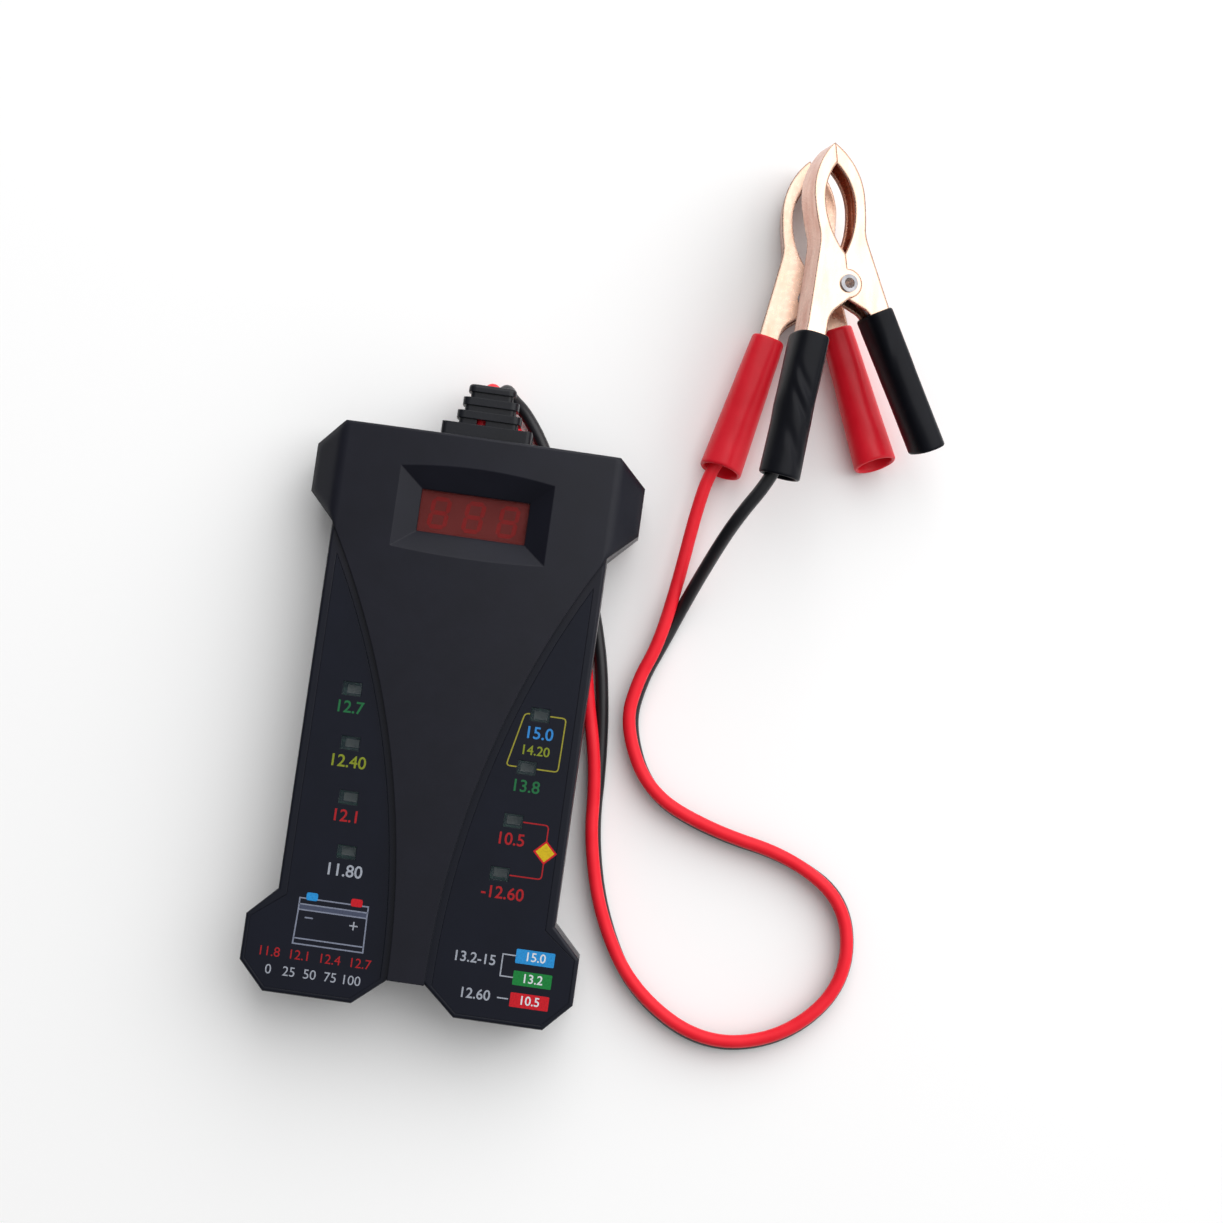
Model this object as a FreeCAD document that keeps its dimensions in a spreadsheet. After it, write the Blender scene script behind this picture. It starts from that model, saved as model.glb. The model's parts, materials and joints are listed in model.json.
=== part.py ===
import FreeCAD, Part
import math
import os

import Sketcher
from FreeCAD import Placement, Rotation, Vector

# Car battery tester with a T-shaped face, two leads and two spring clips.
# Millimetres. X to the right, Y towards the leads, Z out of the face. The origin is under the
# middle of the case, on the surface that its back pads rest on.

doc = FreeCAD.newDocument("battery_tester")
sheet = doc.addObject("Spreadsheet::Sheet", "dims")

DIMENSIONS = {
    # Case outline, seen from the front
    "body_width": 72.6,
    "body_length": 125.0,
    "waist_inset": 6.1,
    "ear_corner_drop": 5.5,
    "ear_side": 10.5,
    "ear_taper": 6.2,
    "foot_corner_run": 5.8,
    "foot_corner_drop": 6.1,
    "foot_side": 10.0,
    "foot_taper": 6.2,
    "foot_inner": 11.1,
    "column_width": 8.0,
    "column_lift": 6.1,
    # Case heights above the table
    "pad_height": 3.6,
    "back_thickness": 1.8,
    "split_height": 11.0,
    "panel_height": 20.0,
    "face_height": 21.6,
    "crown_drop": 0.8,
    "ear_drop": 5.6,
    "crease_half": 1.0,
    "crease_round": 3.2,
    "roof_thickness": 2.4,
    "wall": 1.8,
    "edge_round": 0.5,
    "panel_round": 0.7,
    "back_bevel": 1.2,
    "pad_margin": 0.1,
    "ear_pad_width": 7.0,
    "foot_pad_width": 9.4,
    # Panel films and light windows
    "film_thickness": 0.25,
    "film_side_margin": 2.0,
    "film_foot_margin": 1.0,
    "film_curve_margin": 1.6,
    "light_width": 4.2,
    "light_height": 3.0,
    "light_top": 4.6,
    "light_pitch": 11.7,
    "light_inset": 9.6,
    "light_lean": 1.3,
    "light_pane": 1.4,
    "light_clearance": 0.05,
    # Display
    "display_drop": 17.1,
    "window_width": 23.8,
    "window_height": 9.3,
    "recess_width": 34.6,
    "recess_height": 19.7,
    "recess_rise": 0.3,
    "recess_bow_top": 0.95,
    "recess_bow_bottom": 0.4,
    "recess_floor": 18.2,
    "window_overlap": 1.4,
    "window_thickness": 0.8,
    "display_margin": 0.3,
    # Circuit board and what it carries
    "board_gap": 0.9,
    "board_thickness": 1.6,
    "board_height": 12.0,
    "post_radius": 2.6,
    "post_inset": 3.6,
    "board_screw_radius": 0.9,
    "board_screw_depth": 3.0,
    "board_screw_head_radius": 1.8,
    "board_screw_head": 1.2,
    "indicator_width": 3.0,
    "indicator_depth": 1.8,
    "indicator_height": 1.2,
    "chip_width": 4.0,
    "chip_length": 10.0,
    "chip_height": 1.7,
    "chip_y": -8.0,
    "regulator_width": 6.5,
    "regulator_length": 6.0,
    "regulator_height": 2.3,
    "regulator_y": 22.0,
    "diode_width": 2.6,
    "diode_length": 4.6,
    "diode_height": 2.2,
    "diode_y": 32.0,
    "capacitor_radius": 3.1,
    "capacitor_height": 5.4,
    "capacitor_y": 24.0,
    "component_x": 12.0,
    "resistor_width": 1.6,
    "resistor_length": 3.2,
    "resistor_height": 0.6,
    "resistor_y": -26.0,
    "resistor_pitch": 5.0,
    # Case screws
    "screw_inset": 4.4,
    "screw_radius": 1.3,
    "screw_head_radius": 2.0,
    "screw_head": 1.8,
    "screw_seat": 6.0,
    "screw_reach": 4.6,
    "screw_clearance": 0.03,
    "head_clearance": 0.2,
    # Strain relief, along the way the leads come out
    "neck_width": 12.6,
    "neck_height": 6.4,
    "relief_clearance": 0.1,
    "stop_width": 16.0,
    "stop_height": 8.2,
    "stop_thickness": 1.6,
    "flange_width": 20.0,
    "flange_height": 9.6,
    "flange_thickness": 3.4,
    "flange_round": 1.2,
    "groove_depth": 0.6,
    "notch_width": 2.0,
    "rib_height": 7.4,
    "rib_height_step": 0.5,
    "rib_width": 14.2,
    "rib_width_step": 1.8,
    "rib_thickness": 1.7,
    "rib_pitch": 3.05,
    "rib_round": 1.6,
    "rib_end_round": 0.8,
    "lead_spacing": 3.1,
    "lead_diameter": 2.9,
    "lead_clearance": 0.12,
    "fold_gap": 5.0,
    "fold_side": 5.4,
    # Battery clips: pivot at the clip's own origin, jaw tip towards its +Y
    "sheet": 0.8,
    "channel_width": 8.0,
    "nest_gap": 0.1,
    "jaw_gap": 0.16,
    "jaw_length": 31.0,
    "tip_flat": 0.4,
    "tip_contact": 4.2,
    "jaw_bulge_y": 19.0,
    "jaw_half": 6.05,
    "throat_y": 11.5,
    "throat_half": 5.5,
    "throat_radius": 12.0,
    "neck_y": 8.5,
    "neck_half": 5.88,
    "mouth_y": 6.4,
    "mouth_half": 3.7,
    "mouth_bulge_y": 17.8,
    "shoulder_y": 8.0,
    "shoulder_half": 10.1,
    "lobe_radius": 3.2,
    "arch_y": 5.7,
    "arch_half": 3.9,
    "arch_radius": 6.0,
    "handle_angle": 18.0,
    "handle_depth": 4.5,
    "handle_length": 24.0,
    "rivet_radius": 1.55,
    "rivet_bore": 1.15,
    "rivet_head_radius": 1.95,
    "rivet_head": 0.55,
    "rivet_seat": 0.02,
    "rivet_fit": 0.03,
    "pivot_clearance": 0.05,
    "spring_wire": 0.9,
    "spring_pitch": 0.97,
    "spring_clearance": 0.25,
    "spring_turns": 3.0,
    "spring_lead_angle": 32.5,
    "spring_rest": 0.02,
    "red_wire_sleeve_start": 0.4,
    "black_wire_sleeve_start": 2.3,
    "free_sleeve_start": -2.4,
    "sleeve_length": 32.0,
    "sleeve_wall": 0.9,
    "sleeve_clearance": 0.15,
    "sleeve_root_width": 6.8,
    "sleeve_root_corner": 0.5,
    "sleeve_middle_corner": 1.3,
    "sleeve_mouth": 9.6,
    "sleeve_mouth_flat": 0.1,
    "red_mouth_slant": 11.0,
    "black_mouth_slant": 1.0,
    # Where the clips lie
    "clip_gap": 0.1,
    "red_clip_x": 66.04,
    "red_clip_y": 104.77,
    "red_clip_turn": 5.8,
    "red_clip_roll": 0.0,
    "black_clip_x": 72.66,
    "black_clip_y": 106.26,
    "black_clip_turn": 12.6,
    "black_clip_roll": 18.0,
}

for row, (alias, number) in enumerate(DIMENSIONS.items(), start=1):
    sheet.set(f"A{row}", alias)
    sheet.set(f"B{row}", str(number))
    sheet.setAlias(f"B{row}", alias)
doc.recompute()


class Size:
    """A length that carries its sheet expression and its present value."""

    def __init__(self, text, value):
        self.text = text
        self.value = value

    def __add__(self, other):
        other = as_size(other)
        return Size(f"({self.text} + {other.text})", self.value + other.value)

    def __sub__(self, other):
        other = as_size(other)
        return Size(f"({self.text} - {other.text})", self.value - other.value)

    def __mul__(self, other):
        other = as_size(other)
        return Size(f"({self.text} * {other.text})", self.value * other.value)

    def __truediv__(self, other):
        other = as_size(other)
        return Size(f"({self.text} / {other.text})", self.value / other.value)

    def __neg__(self):
        return Size(f"(0 - {self.text})", -self.value)

    def __radd__(self, other):
        return as_size(other) + self

    def __rsub__(self, other):
        return as_size(other) - self

    def __rmul__(self, other):
        return as_size(other) * self


def as_size(number):
    return number if isinstance(number, Size) else Size(repr(number), number)


def dim(alias):
    return Size(f"dims.{alias}", DIMENSIONS[alias])


def sine(angle):
    return Size(f"sin({angle.text} * 1 deg)", math.sin(math.radians(angle.value)))


def cosine(angle):
    return Size(f"cos({angle.text} * 1 deg)", math.cos(math.radians(angle.value)))


def root(number):
    return Size(f"sqrt({number.text})", math.sqrt(number.value))


def arc_radius(run, rise):
    """Radius of an arc that starts along the rise and drifts sideways by the run."""
    return (run * run + rise * rise) / (2 * run)


def bow_radius(chord, bow):
    """Radius of an arc over a chord that stands a bow's height above its middle."""
    return (chord * chord / 4 + bow * bow) / (2 * bow)


def bind(item, name, number):
    item.setExpression(name, as_size(number).text)


# Sketches and solid features

def new_body(label):
    body = doc.addObject("PartDesign::Body", label)
    body.Label = label
    return body


def sketch_on(body, name, role, offset):
    sketch = body.newObject("Sketcher::SketchObject", name)
    support = next(item for item in body.Origin.OriginFeatures if item.Role == role)
    sketch.AttachmentSupport = (support, [""])
    sketch.MapMode = "FlatFace"
    bind(sketch, "AttachmentOffset.Base.z", offset)
    return sketch


def pin(sketch, edge, end, x, y):
    """Holds one end of an edge at a place in the sketch."""
    for kind, number in (("DistanceX", x), ("DistanceY", y)):
        number = as_size(number)
        index = sketch.addConstraint(Sketcher.Constraint(kind, -1, 1, edge, end, number.value))
        bind(sketch, f"Constraints[{index}]", number)


def set_radius(sketch, edge, radius):
    index = sketch.addConstraint(Sketcher.Constraint("Radius", edge, radius.value))
    bind(sketch, f"Constraints[{index}]", radius)


def arc_edge(first, last, radius, centre_left):
    """The short arc between two points, with its centre on the left or right of the way along."""
    chord = last - first
    side = Vector(-chord.y, chord.x, 0).normalize()
    height = math.sqrt(radius * radius - chord.Length * chord.Length / 4)
    centre = (first + last) * 0.5 + side * (height if centre_left else -height)
    begin = math.atan2(first.y - centre.y, first.x - centre.x)
    finish = math.atan2(last.y - centre.y, last.x - centre.x)
    circle = Part.Circle(centre, Vector(0, 0, 1), radius)
    if centre_left:
        return Part.ArcOfCircle(circle, begin, finish)
    return Part.ArcOfCircle(circle, finish, begin)


def loop(sketch, corners, mirrored=False):
    """Closed outline. A corner is (x, y), or (x, y, radius, side) where an arc leaves it."""
    sign = -1 if mirrored else 1
    places = [(as_size(corner[0]) * sign, as_size(corner[1])) for corner in corners]
    edges = []
    for index, corner in enumerate(corners):
        first = Vector(places[index][0].value, places[index][1].value, 0)
        following = places[(index + 1) % len(places)]
        last = Vector(following[0].value, following[1].value, 0)
        if len(corner) == 2:
            edges.append((sketch.addGeometry(Part.LineSegment(first, last), False), 1, 2))
            continue
        radius = as_size(corner[2])
        centre_left = (corner[3] == "left") != mirrored
        edge = sketch.addGeometry(arc_edge(first, last, radius.value, centre_left), False)
        edges.append((edge, 1, 2) if centre_left else (edge, 2, 1))
        set_radius(sketch, edge, radius)
    for index, (edge, start, _) in enumerate(edges):
        before, _, end = edges[index - 1]
        sketch.addConstraint(Sketcher.Constraint("Coincident", before, end, edge, start))
        pin(sketch, edge, start, *places[index])


def rectangle(sketch, left, bottom, right, top):
    loop(sketch, [(left, bottom), (right, bottom), (right, top), (left, top)])


def centred_rectangle(sketch, x, y, width, height):
    rectangle(sketch, x - width / 2, y - height / 2, x + width / 2, y + height / 2)


def rounded_rectangle(sketch, width, height, radius):
    half_w = width / 2
    half_h = height / 2
    loop(sketch, [
        (-half_w + radius, -half_h), (half_w - radius, -half_h, radius, "left"),
        (half_w, -half_h + radius), (half_w, half_h - radius, radius, "left"),
        (half_w - radius, half_h), (-half_w + radius, half_h, radius, "left"),
        (-half_w, half_h - radius), (-half_w, -half_h + radius, radius, "left"),
    ])


def disc(sketch, x, y, radius):
    place = Vector(as_size(x).value, as_size(y).value, 0)
    edge = sketch.addGeometry(Part.Circle(place, Vector(0, 0, 1), radius.value), False)
    set_radius(sketch, edge, radius)
    pin(sketch, edge, 3, x, y)


def pad(body, sketch, length):
    feature = body.newObject("PartDesign::Pad", "Pad")
    feature.Profile = sketch
    bind(feature, "Length", length)
    doc.recompute()


def pocket(body, sketch, depth, upward=False):
    """Cuts down from the sketch, or up; a cut that removes nothing is an error."""
    doc.recompute()
    before = body.Shape.Volume
    feature = body.newObject("PartDesign::Pocket", "Pocket")
    feature.Profile = sketch
    feature.Reversed = upward
    bind(feature, "Length", depth)
    doc.recompute()
    if body.Shape.Volume > before - 1e-6:
        raise RuntimeError(f"{body.Label}: {sketch.Name} cuts nothing")


def loft(body, kind, sketches, ruled=False):
    feature = body.newObject(f"PartDesign::{kind}", kind)
    feature.Profile = sketches[0]
    feature.Sections = sketches[1:]
    feature.Ruled = ruled
    doc.recompute()


def revolve(body, sketch):
    feature = body.newObject("PartDesign::Revolution", "Revolution")
    feature.Profile = sketch
    feature.ReferenceAxis = (sketch, ["V_Axis"])
    feature.Angle = 360
    doc.recompute()


def dress(body, kind, property_name, amount, chosen):
    """Rounds or bevels the edges that a rule picks from the body as it stands."""
    doc.recompute()
    names = [f"Edge{n}" for n, edge in enumerate(body.Shape.Edges, start=1) if chosen(edge)]
    base = body.Tip
    feature = body.newObject(f"PartDesign::{kind}", kind)
    feature.Base = (base, names)
    bind(feature, property_name, amount)
    doc.recompute()
    if len(names) == 0 or "Invalid" in feature.State:
        raise RuntimeError(f"{body.Label}: {kind} failed on {len(names)} edges")


def edge_height(edge):
    box = edge.BoundBox
    return box.ZMin, box.ZMax


def level(edge, height):
    low, high = edge_height(edge)
    return abs(low - height.value) < 0.01 and abs(high - height.value) < 0.01


def box(name, x, y, z, width, length, height):
    """A block by its middle in X and Y and its lower face."""
    block = doc.addObject("Part::Box", name)
    bind(block, "Length", width)
    bind(block, "Width", length)
    bind(block, "Height", height)
    bind(block, "Placement.Base.x", x - width / 2)
    bind(block, "Placement.Base.y", y - length / 2)
    bind(block, "Placement.Base.z", z)
    return block


def cylinder(name, x, y, z, radius, height):
    rod = doc.addObject("Part::Cylinder", name)
    bind(rod, "Radius", radius)
    bind(rod, "Height", height)
    bind(rod, "Placement.Base.x", x)
    bind(rod, "Placement.Base.y", y)
    bind(rod, "Placement.Base.z", z)
    return rod


def fused(label, pieces):
    group = doc.addObject("Part::MultiFuse", label)
    group.Label = label
    group.Shapes = pieces
    return group


# Places that several pieces share

HALF_WIDTH = dim("body_width") / 2
HALF_LENGTH = dim("body_length") / 2
WAIST = HALF_WIDTH - dim("waist_inset")
COLUMN = dim("column_width") / 2
COLUMN_END = -HALF_LENGTH + dim("column_lift")
EAR_TOP = HALF_LENGTH - dim("ear_corner_drop")
EAR_BOTTOM = EAR_TOP - dim("ear_side")
EAR_ROOT = EAR_BOTTOM - dim("ear_taper")
FOOT_CORNER = HALF_WIDTH - dim("foot_corner_run")
FOOT_BOTTOM = -HALF_LENGTH + dim("foot_corner_drop")
FOOT_TOP = FOOT_BOTTOM + dim("foot_side")
FOOT_ROOT = FOOT_TOP + dim("foot_taper")
CURVE_RISE = EAR_ROOT - COLUMN_END
CURVE_RADIUS = arc_radius(WAIST - COLUMN, CURVE_RISE)
SPLIT = dim("split_height")
PANEL = dim("panel_height")
FACE = dim("face_height")
ROOF = PANEL - dim("roof_thickness")
CAVITY_X = WAIST - dim("wall")
CAVITY_TOP = HALF_LENGTH - dim("wall")
CAVITY_BOTTOM = COLUMN_END + dim("wall")
BOARD_X = CAVITY_X - dim("board_gap")
BOARD_TOP = CAVITY_TOP - dim("stop_thickness") - 2 * dim("board_gap")
BOARD_BOTTOM = CAVITY_BOTTOM + dim("board_gap")
BOARD_FACE = dim("board_height") + dim("board_thickness")
DISPLAY_Y = HALF_LENGTH - dim("display_drop")
SCREW_X = HALF_WIDTH - dim("screw_inset")
SCREWS = [
    (side * SCREW_X, y)
    for side in (-1, 1)
    for y in ((EAR_TOP + EAR_BOTTOM) / 2, (FOOT_TOP + FOOT_BOTTOM) / 2)
]
POSTS = [
    (side * (BOARD_X - dim("post_inset")), y)
    for side in (-1, 1)
    for y in (BOARD_TOP - dim("post_inset"), BOARD_BOTTOM + dim("post_inset"))
]
LIGHTS = [
    (side * (WAIST - dim("light_inset") - dim("light_lean") * n), dim("light_top") - dim("light_pitch") * n)
    for side in (-1, 1)
    for n in range(4)
]
REACH = 10 * dim("wall")
# A half circle's radius is kept just over half its chord.
ARC_SLACK = 1.0001
# Share of the film's edge margin taken along the sides next to a slanted corner
FILM_CORNER_SHARE = 0.4


def mirrored_outline(right_side):
    """A closed outline from its right half, given from the bottom middle to the top middle."""
    left_side = []
    for index in range(len(right_side) - 1, -1, -1):
        corner = right_side[index]
        arc = right_side[index - 1][2:] if index > 0 else ()
        left_side.append((-corner[0], corner[1]) + tuple(arc))
    return list(right_side) + left_side


EARS = [(WAIST, EAR_ROOT), (HALF_WIDTH, EAR_BOTTOM), (HALF_WIDTH, EAR_TOP), (WAIST, HALF_LENGTH)]
FEET = [
    (COLUMN, COLUMN_END), (dim("foot_inner"), -HALF_LENGTH), (FOOT_CORNER, -HALF_LENGTH),
    (HALF_WIDTH, FOOT_BOTTOM), (HALF_WIDTH, FOOT_TOP), (WAIST, FOOT_ROOT),
]


# Case

def cut_cavity(body, depth, upward):
    sketch = sketch_on(body, "cavity", "XY_Plane", SPLIT)
    rectangle(sketch, -CAVITY_X, CAVITY_BOTTOM, CAVITY_X, CAVITY_TOP)
    pocket(body, sketch, depth, upward)


def cut_neck_slot(body, upward):
    """Half of the slot in the top wall that the strain relief's neck sits in."""
    half = dim("neck_width") / 2 + dim("relief_clearance")
    sketch = sketch_on(body, "neck_slot", "XY_Plane", SPLIT)
    rectangle(sketch, -half, CAVITY_TOP - dim("wall") / 2, half, HALF_LENGTH + dim("wall"))
    pocket(body, sketch, dim("neck_height") / 2 + dim("relief_clearance"), upward)


def film_outline(shrink):
    """Right-hand panel film; shrink is the clearance all round."""
    radius = CURVE_RADIUS - dim("film_curve_margin") - shrink
    middle = COLUMN + CURVE_RADIUS
    outer = WAIST - dim("film_side_margin") - shrink
    edge = dim("film_foot_margin") + shrink
    tip_y = COLUMN_END + root(radius * radius - (middle - outer) * (middle - outer))
    return [
        (middle - radius, COLUMN_END),
        (dim("foot_inner") + edge * FILM_CORNER_SHARE, -HALF_LENGTH + edge),
        (FOOT_CORNER - edge * FILM_CORNER_SHARE, -HALF_LENGTH + edge),
        (HALF_WIDTH - edge, FOOT_BOTTOM + edge * FILM_CORNER_SHARE),
        (HALF_WIDTH - edge, FOOT_TOP - edge * FILM_CORNER_SHARE),
        (outer, FOOT_ROOT - edge),
        (outer, tip_y, radius, "left"),
    ]


def make_front_cover():
    body = new_body("front_cover")
    sketch = sketch_on(body, "centre_outline", "XY_Plane", SPLIT)
    loop(sketch, mirrored_outline([(COLUMN, COLUMN_END, CURVE_RADIUS, "right")] + EARS))
    pad(body, sketch, FACE - SPLIT)

    # The face is crowned from side to side and falls away over the ears, past a rounded crease.
    soft = dim("crease_half")
    crease = FACE - dim("crown_drop")
    slope = dim("ear_drop") / dim("waist_inset")
    far = HALF_WIDTH + dim("waist_inset")
    far_z = crease - slope * (far - WAIST)
    sketch = sketch_on(body, "crown", "XZ_Plane", HALF_LENGTH + REACH)
    loop(sketch, [
        (-far, far_z),
        (-WAIST - soft, crease - slope * soft, dim("crease_round"), "right"),
        (-WAIST + soft, crease, bow_radius(2 * (WAIST - soft), dim("crown_drop")), "right"),
        (WAIST - soft, crease, dim("crease_round"), "right"),
        (WAIST + soft, crease - slope * soft),
        (far, far_z),
        (far, FACE + REACH),
        (-far, FACE + REACH),
    ])
    pocket(body, sketch, 2 * (HALF_LENGTH + REACH))
    dress(body, "Fillet", "Radius", dim("edge_round"), is_ear_edge)

    sketch = sketch_on(body, "panel_outline", "XY_Plane", SPLIT)
    loop(sketch, mirrored_outline(FEET + [(WAIST, EAR_ROOT)]))
    pad(body, sketch, PANEL - SPLIT)
    dress(body, "Fillet", "Radius", dim("panel_round"), is_panel_edge)
    cut_cavity(body, ROOF - SPLIT, True)

    # Display recess: bowed sloping walls down to the window's opening.
    middle = DISPLAY_Y + dim("recess_rise")
    half_w = dim("recess_width") / 2
    low = middle - dim("recess_height") / 2 + dim("recess_bow_bottom")
    high = middle + dim("recess_height") / 2 - dim("recess_bow_top")
    rim = sketch_on(body, "recess_rim", "XY_Plane", FACE)
    loop(rim, [
        (-half_w, low, bow_radius(2 * half_w, dim("recess_bow_bottom")), "left"),
        (half_w, low),
        (half_w, high, bow_radius(2 * half_w, dim("recess_bow_top")), "left"),
        (-half_w, high),
    ])
    floor = sketch_on(body, "recess_floor", "XY_Plane", dim("recess_floor"))
    centred_rectangle(floor, 0 * half_w, DISPLAY_Y, dim("window_width"), dim("window_height"))
    loft(body, "SubtractiveLoft", [rim, floor], ruled=True)
    sketch = sketch_on(body, "window_opening", "XY_Plane", dim("recess_floor"))
    centred_rectangle(sketch, 0 * half_w, DISPLAY_Y, dim("window_width"), dim("window_height"))
    pocket(body, sketch, dim("recess_floor") - ROOF + dim("wall"))

    sketch = sketch_on(body, "film_seats", "XY_Plane", PANEL)
    for mirrored in (False, True):
        loop(sketch, film_outline(as_size(0)), mirrored)
    pocket(body, sketch, dim("film_thickness"))
    sketch = sketch_on(body, "light_openings", "XY_Plane", PANEL)
    for x, y in LIGHTS:
        centred_rectangle(sketch, x, y, dim("light_width"), dim("light_height"))
    pocket(body, sketch, dim("roof_thickness") + dim("film_thickness"))

    sketch = sketch_on(body, "board_posts", "XY_Plane", BOARD_FACE)
    for x, y in POSTS:
        disc(sketch, x, y, dim("post_radius"))
    pad(body, sketch, ROOF - BOARD_FACE + dim("film_thickness"))
    sketch = sketch_on(body, "post_holes", "XY_Plane", BOARD_FACE)
    for x, y in POSTS:
        disc(sketch, x, y, dim("board_screw_radius") + dim("screw_clearance"))
    pocket(body, sketch, dim("board_screw_depth"), True)
    sketch = sketch_on(body, "screw_holes", "XY_Plane", SPLIT)
    for x, y in SCREWS:
        disc(sketch, x, y, dim("screw_radius") + dim("screw_clearance"))
    pocket(body, sketch, dim("screw_reach"), True)
    cut_neck_slot(body, True)
    return body


def is_ear_edge(edge):
    """The rim of the face along the top end and down the sides of the ears."""
    box_of = edge.BoundBox
    ridge = box_of.XLength < 0.01 and abs(box_of.XMax) < HALF_WIDTH.value - 0.01
    high = box_of.ZMin > SPLIT.value + 0.01
    return high and not ridge and not is_upright(edge) and box_of.YMin > EAR_BOTTOM.value - 0.01


def is_upright(edge):
    box_of = edge.BoundBox
    return box_of.XLength < 0.01 and box_of.YLength < 0.01


def is_panel_edge(edge):
    """Outer edges of the side panels, not those against the raised centre."""
    if not level(edge, PANEL):
        return False
    box_of = edge.BoundBox
    return box_of.YMax < EAR_ROOT.value + 0.01 and edge.Curve.TypeId == "Part::GeomLine"


def make_back_cover():
    body = new_body("back_cover")
    sketch = sketch_on(body, "outline", "XY_Plane", dim("pad_height"))
    loop(sketch, mirrored_outline(FEET + EARS))
    pad(body, sketch, SPLIT - dim("pad_height"))
    dress(body, "Chamfer", "Size", dim("back_bevel"), lambda edge: level(edge, dim("pad_height")))
    cut_cavity(body, SPLIT - dim("pad_height") - dim("back_thickness"), False)

    # Corner pads that the case rests on; the leads can pass between them.
    outer = HALF_WIDTH - dim("back_bevel") - dim("pad_margin")
    sketch = sketch_on(body, "pads", "XY_Plane", as_size(0))
    for side in (-1, 1):
        for width, bottom, top in (
            (dim("ear_pad_width"), EAR_BOTTOM, EAR_TOP),
            (dim("foot_pad_width"), FOOT_BOTTOM, FOOT_TOP),
        ):
            middle = (outer - width / 2) * side
            centred_rectangle(sketch, middle, (bottom + top) / 2, width, top - bottom)
    pad(body, sketch, dim("pad_height") + dim("back_thickness") / 2)

    sketch = sketch_on(body, "head_wells", "XY_Plane", as_size(0))
    for x, y in SCREWS:
        disc(sketch, x, y, dim("screw_head_radius") + dim("head_clearance"))
    pocket(body, sketch, dim("screw_seat"), True)
    sketch = sketch_on(body, "screw_holes", "XY_Plane", as_size(0))
    for x, y in SCREWS:
        disc(sketch, x, y, dim("screw_radius") + dim("head_clearance"))
    pocket(body, sketch, SPLIT + dim("wall"), True)
    cut_neck_slot(body, False)
    return body


def make_film(label, mirrored):
    body = new_body(label)
    base = PANEL - dim("film_thickness")
    sketch = sketch_on(body, "outline", "XY_Plane", base)
    loop(sketch, film_outline(dim("light_clearance")), mirrored)
    pad(body, sketch, dim("film_thickness"))
    sketch = sketch_on(body, "light_openings", "XY_Plane", base)
    for x, y in LIGHTS:
        if (x.value < 0) == mirrored:
            centred_rectangle(sketch, x, y, dim("light_width"), dim("light_height"))
    pocket(body, sketch, dim("film_thickness") * 2, True)
    return body


def make_lights():
    """Clear panes in the panel and the light packages below them on the board."""
    gap = 2 * dim("light_clearance")
    panes = [
        box("pane", x, y, PANEL - dim("light_pane"), dim("light_width") - gap,
            dim("light_height") - gap, dim("light_pane"))
        for x, y in LIGHTS
    ]
    packages = [
        box("package", x, y, BOARD_FACE, dim("indicator_width"), dim("indicator_depth"),
            dim("indicator_height"))
        for x, y in LIGHTS
    ]
    return [fused("light_windows", panes), fused("indicator_lights", packages)]


def make_display():
    overlap = 2 * dim("window_overlap")
    width = dim("window_width") + overlap
    height = dim("window_height") + overlap
    middle = 0 * width
    window = box("display_window", middle, DISPLAY_Y, ROOF - dim("window_thickness"), width, height,
                 dim("window_thickness"))
    module = box("display_module", middle, DISPLAY_Y, BOARD_FACE, width, height,
                 ROOF - dim("window_thickness") - BOARD_FACE - dim("display_margin"))
    window.Label = "display_window"
    module.Label = "display_module"
    return [window, module]


def make_board():
    body = new_body("circuit_board")
    sketch = sketch_on(body, "outline", "XY_Plane", dim("board_height"))
    rectangle(sketch, -BOARD_X, BOARD_BOTTOM, BOARD_X, BOARD_TOP)
    pad(body, sketch, dim("board_thickness"))
    sketch = sketch_on(body, "screw_holes", "XY_Plane", dim("board_height"))
    for x, y in POSTS:
        disc(sketch, x, y, dim("board_screw_radius") + dim("head_clearance"))
    pocket(body, sketch, dim("board_thickness") * 2, True)
    return body


def make_components():
    """Parts on the back of the board."""
    under = dim("board_height")
    x = dim("component_x")
    middle = 0 * x
    chip = box("controller_chip", middle, dim("chip_y"), under - dim("chip_height"), dim("chip_length"),
               dim("chip_width"), dim("chip_height"))
    regulator = box("voltage_regulator", -x, dim("regulator_y"), under - dim("regulator_height"),
                    dim("regulator_width"), dim("regulator_length"), dim("regulator_height"))
    diode = box("protection_diode", middle, dim("diode_y"), under - dim("diode_height"),
                dim("diode_width"), dim("diode_length"), dim("diode_height"))
    capacitor = cylinder("capacitor", x, dim("capacitor_y"), under - dim("capacitor_height"),
                         dim("capacitor_radius"), dim("capacitor_height"))
    resistors = [
        box("resistor", x * side, dim("resistor_y") + dim("resistor_pitch") * n,
            under - dim("resistor_height"), dim("resistor_length"), dim("resistor_width"),
            dim("resistor_height"))
        for side in (-1, 1)
        for n in range(4)
    ]
    for item, label in ((chip, "controller_chip"), (regulator, "voltage_regulator"),
                        (diode, "protection_diode"), (capacitor, "capacitor")):
        item.Label = label
    return [chip, regulator, diode, capacitor, fused("resistors", resistors)]


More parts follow.
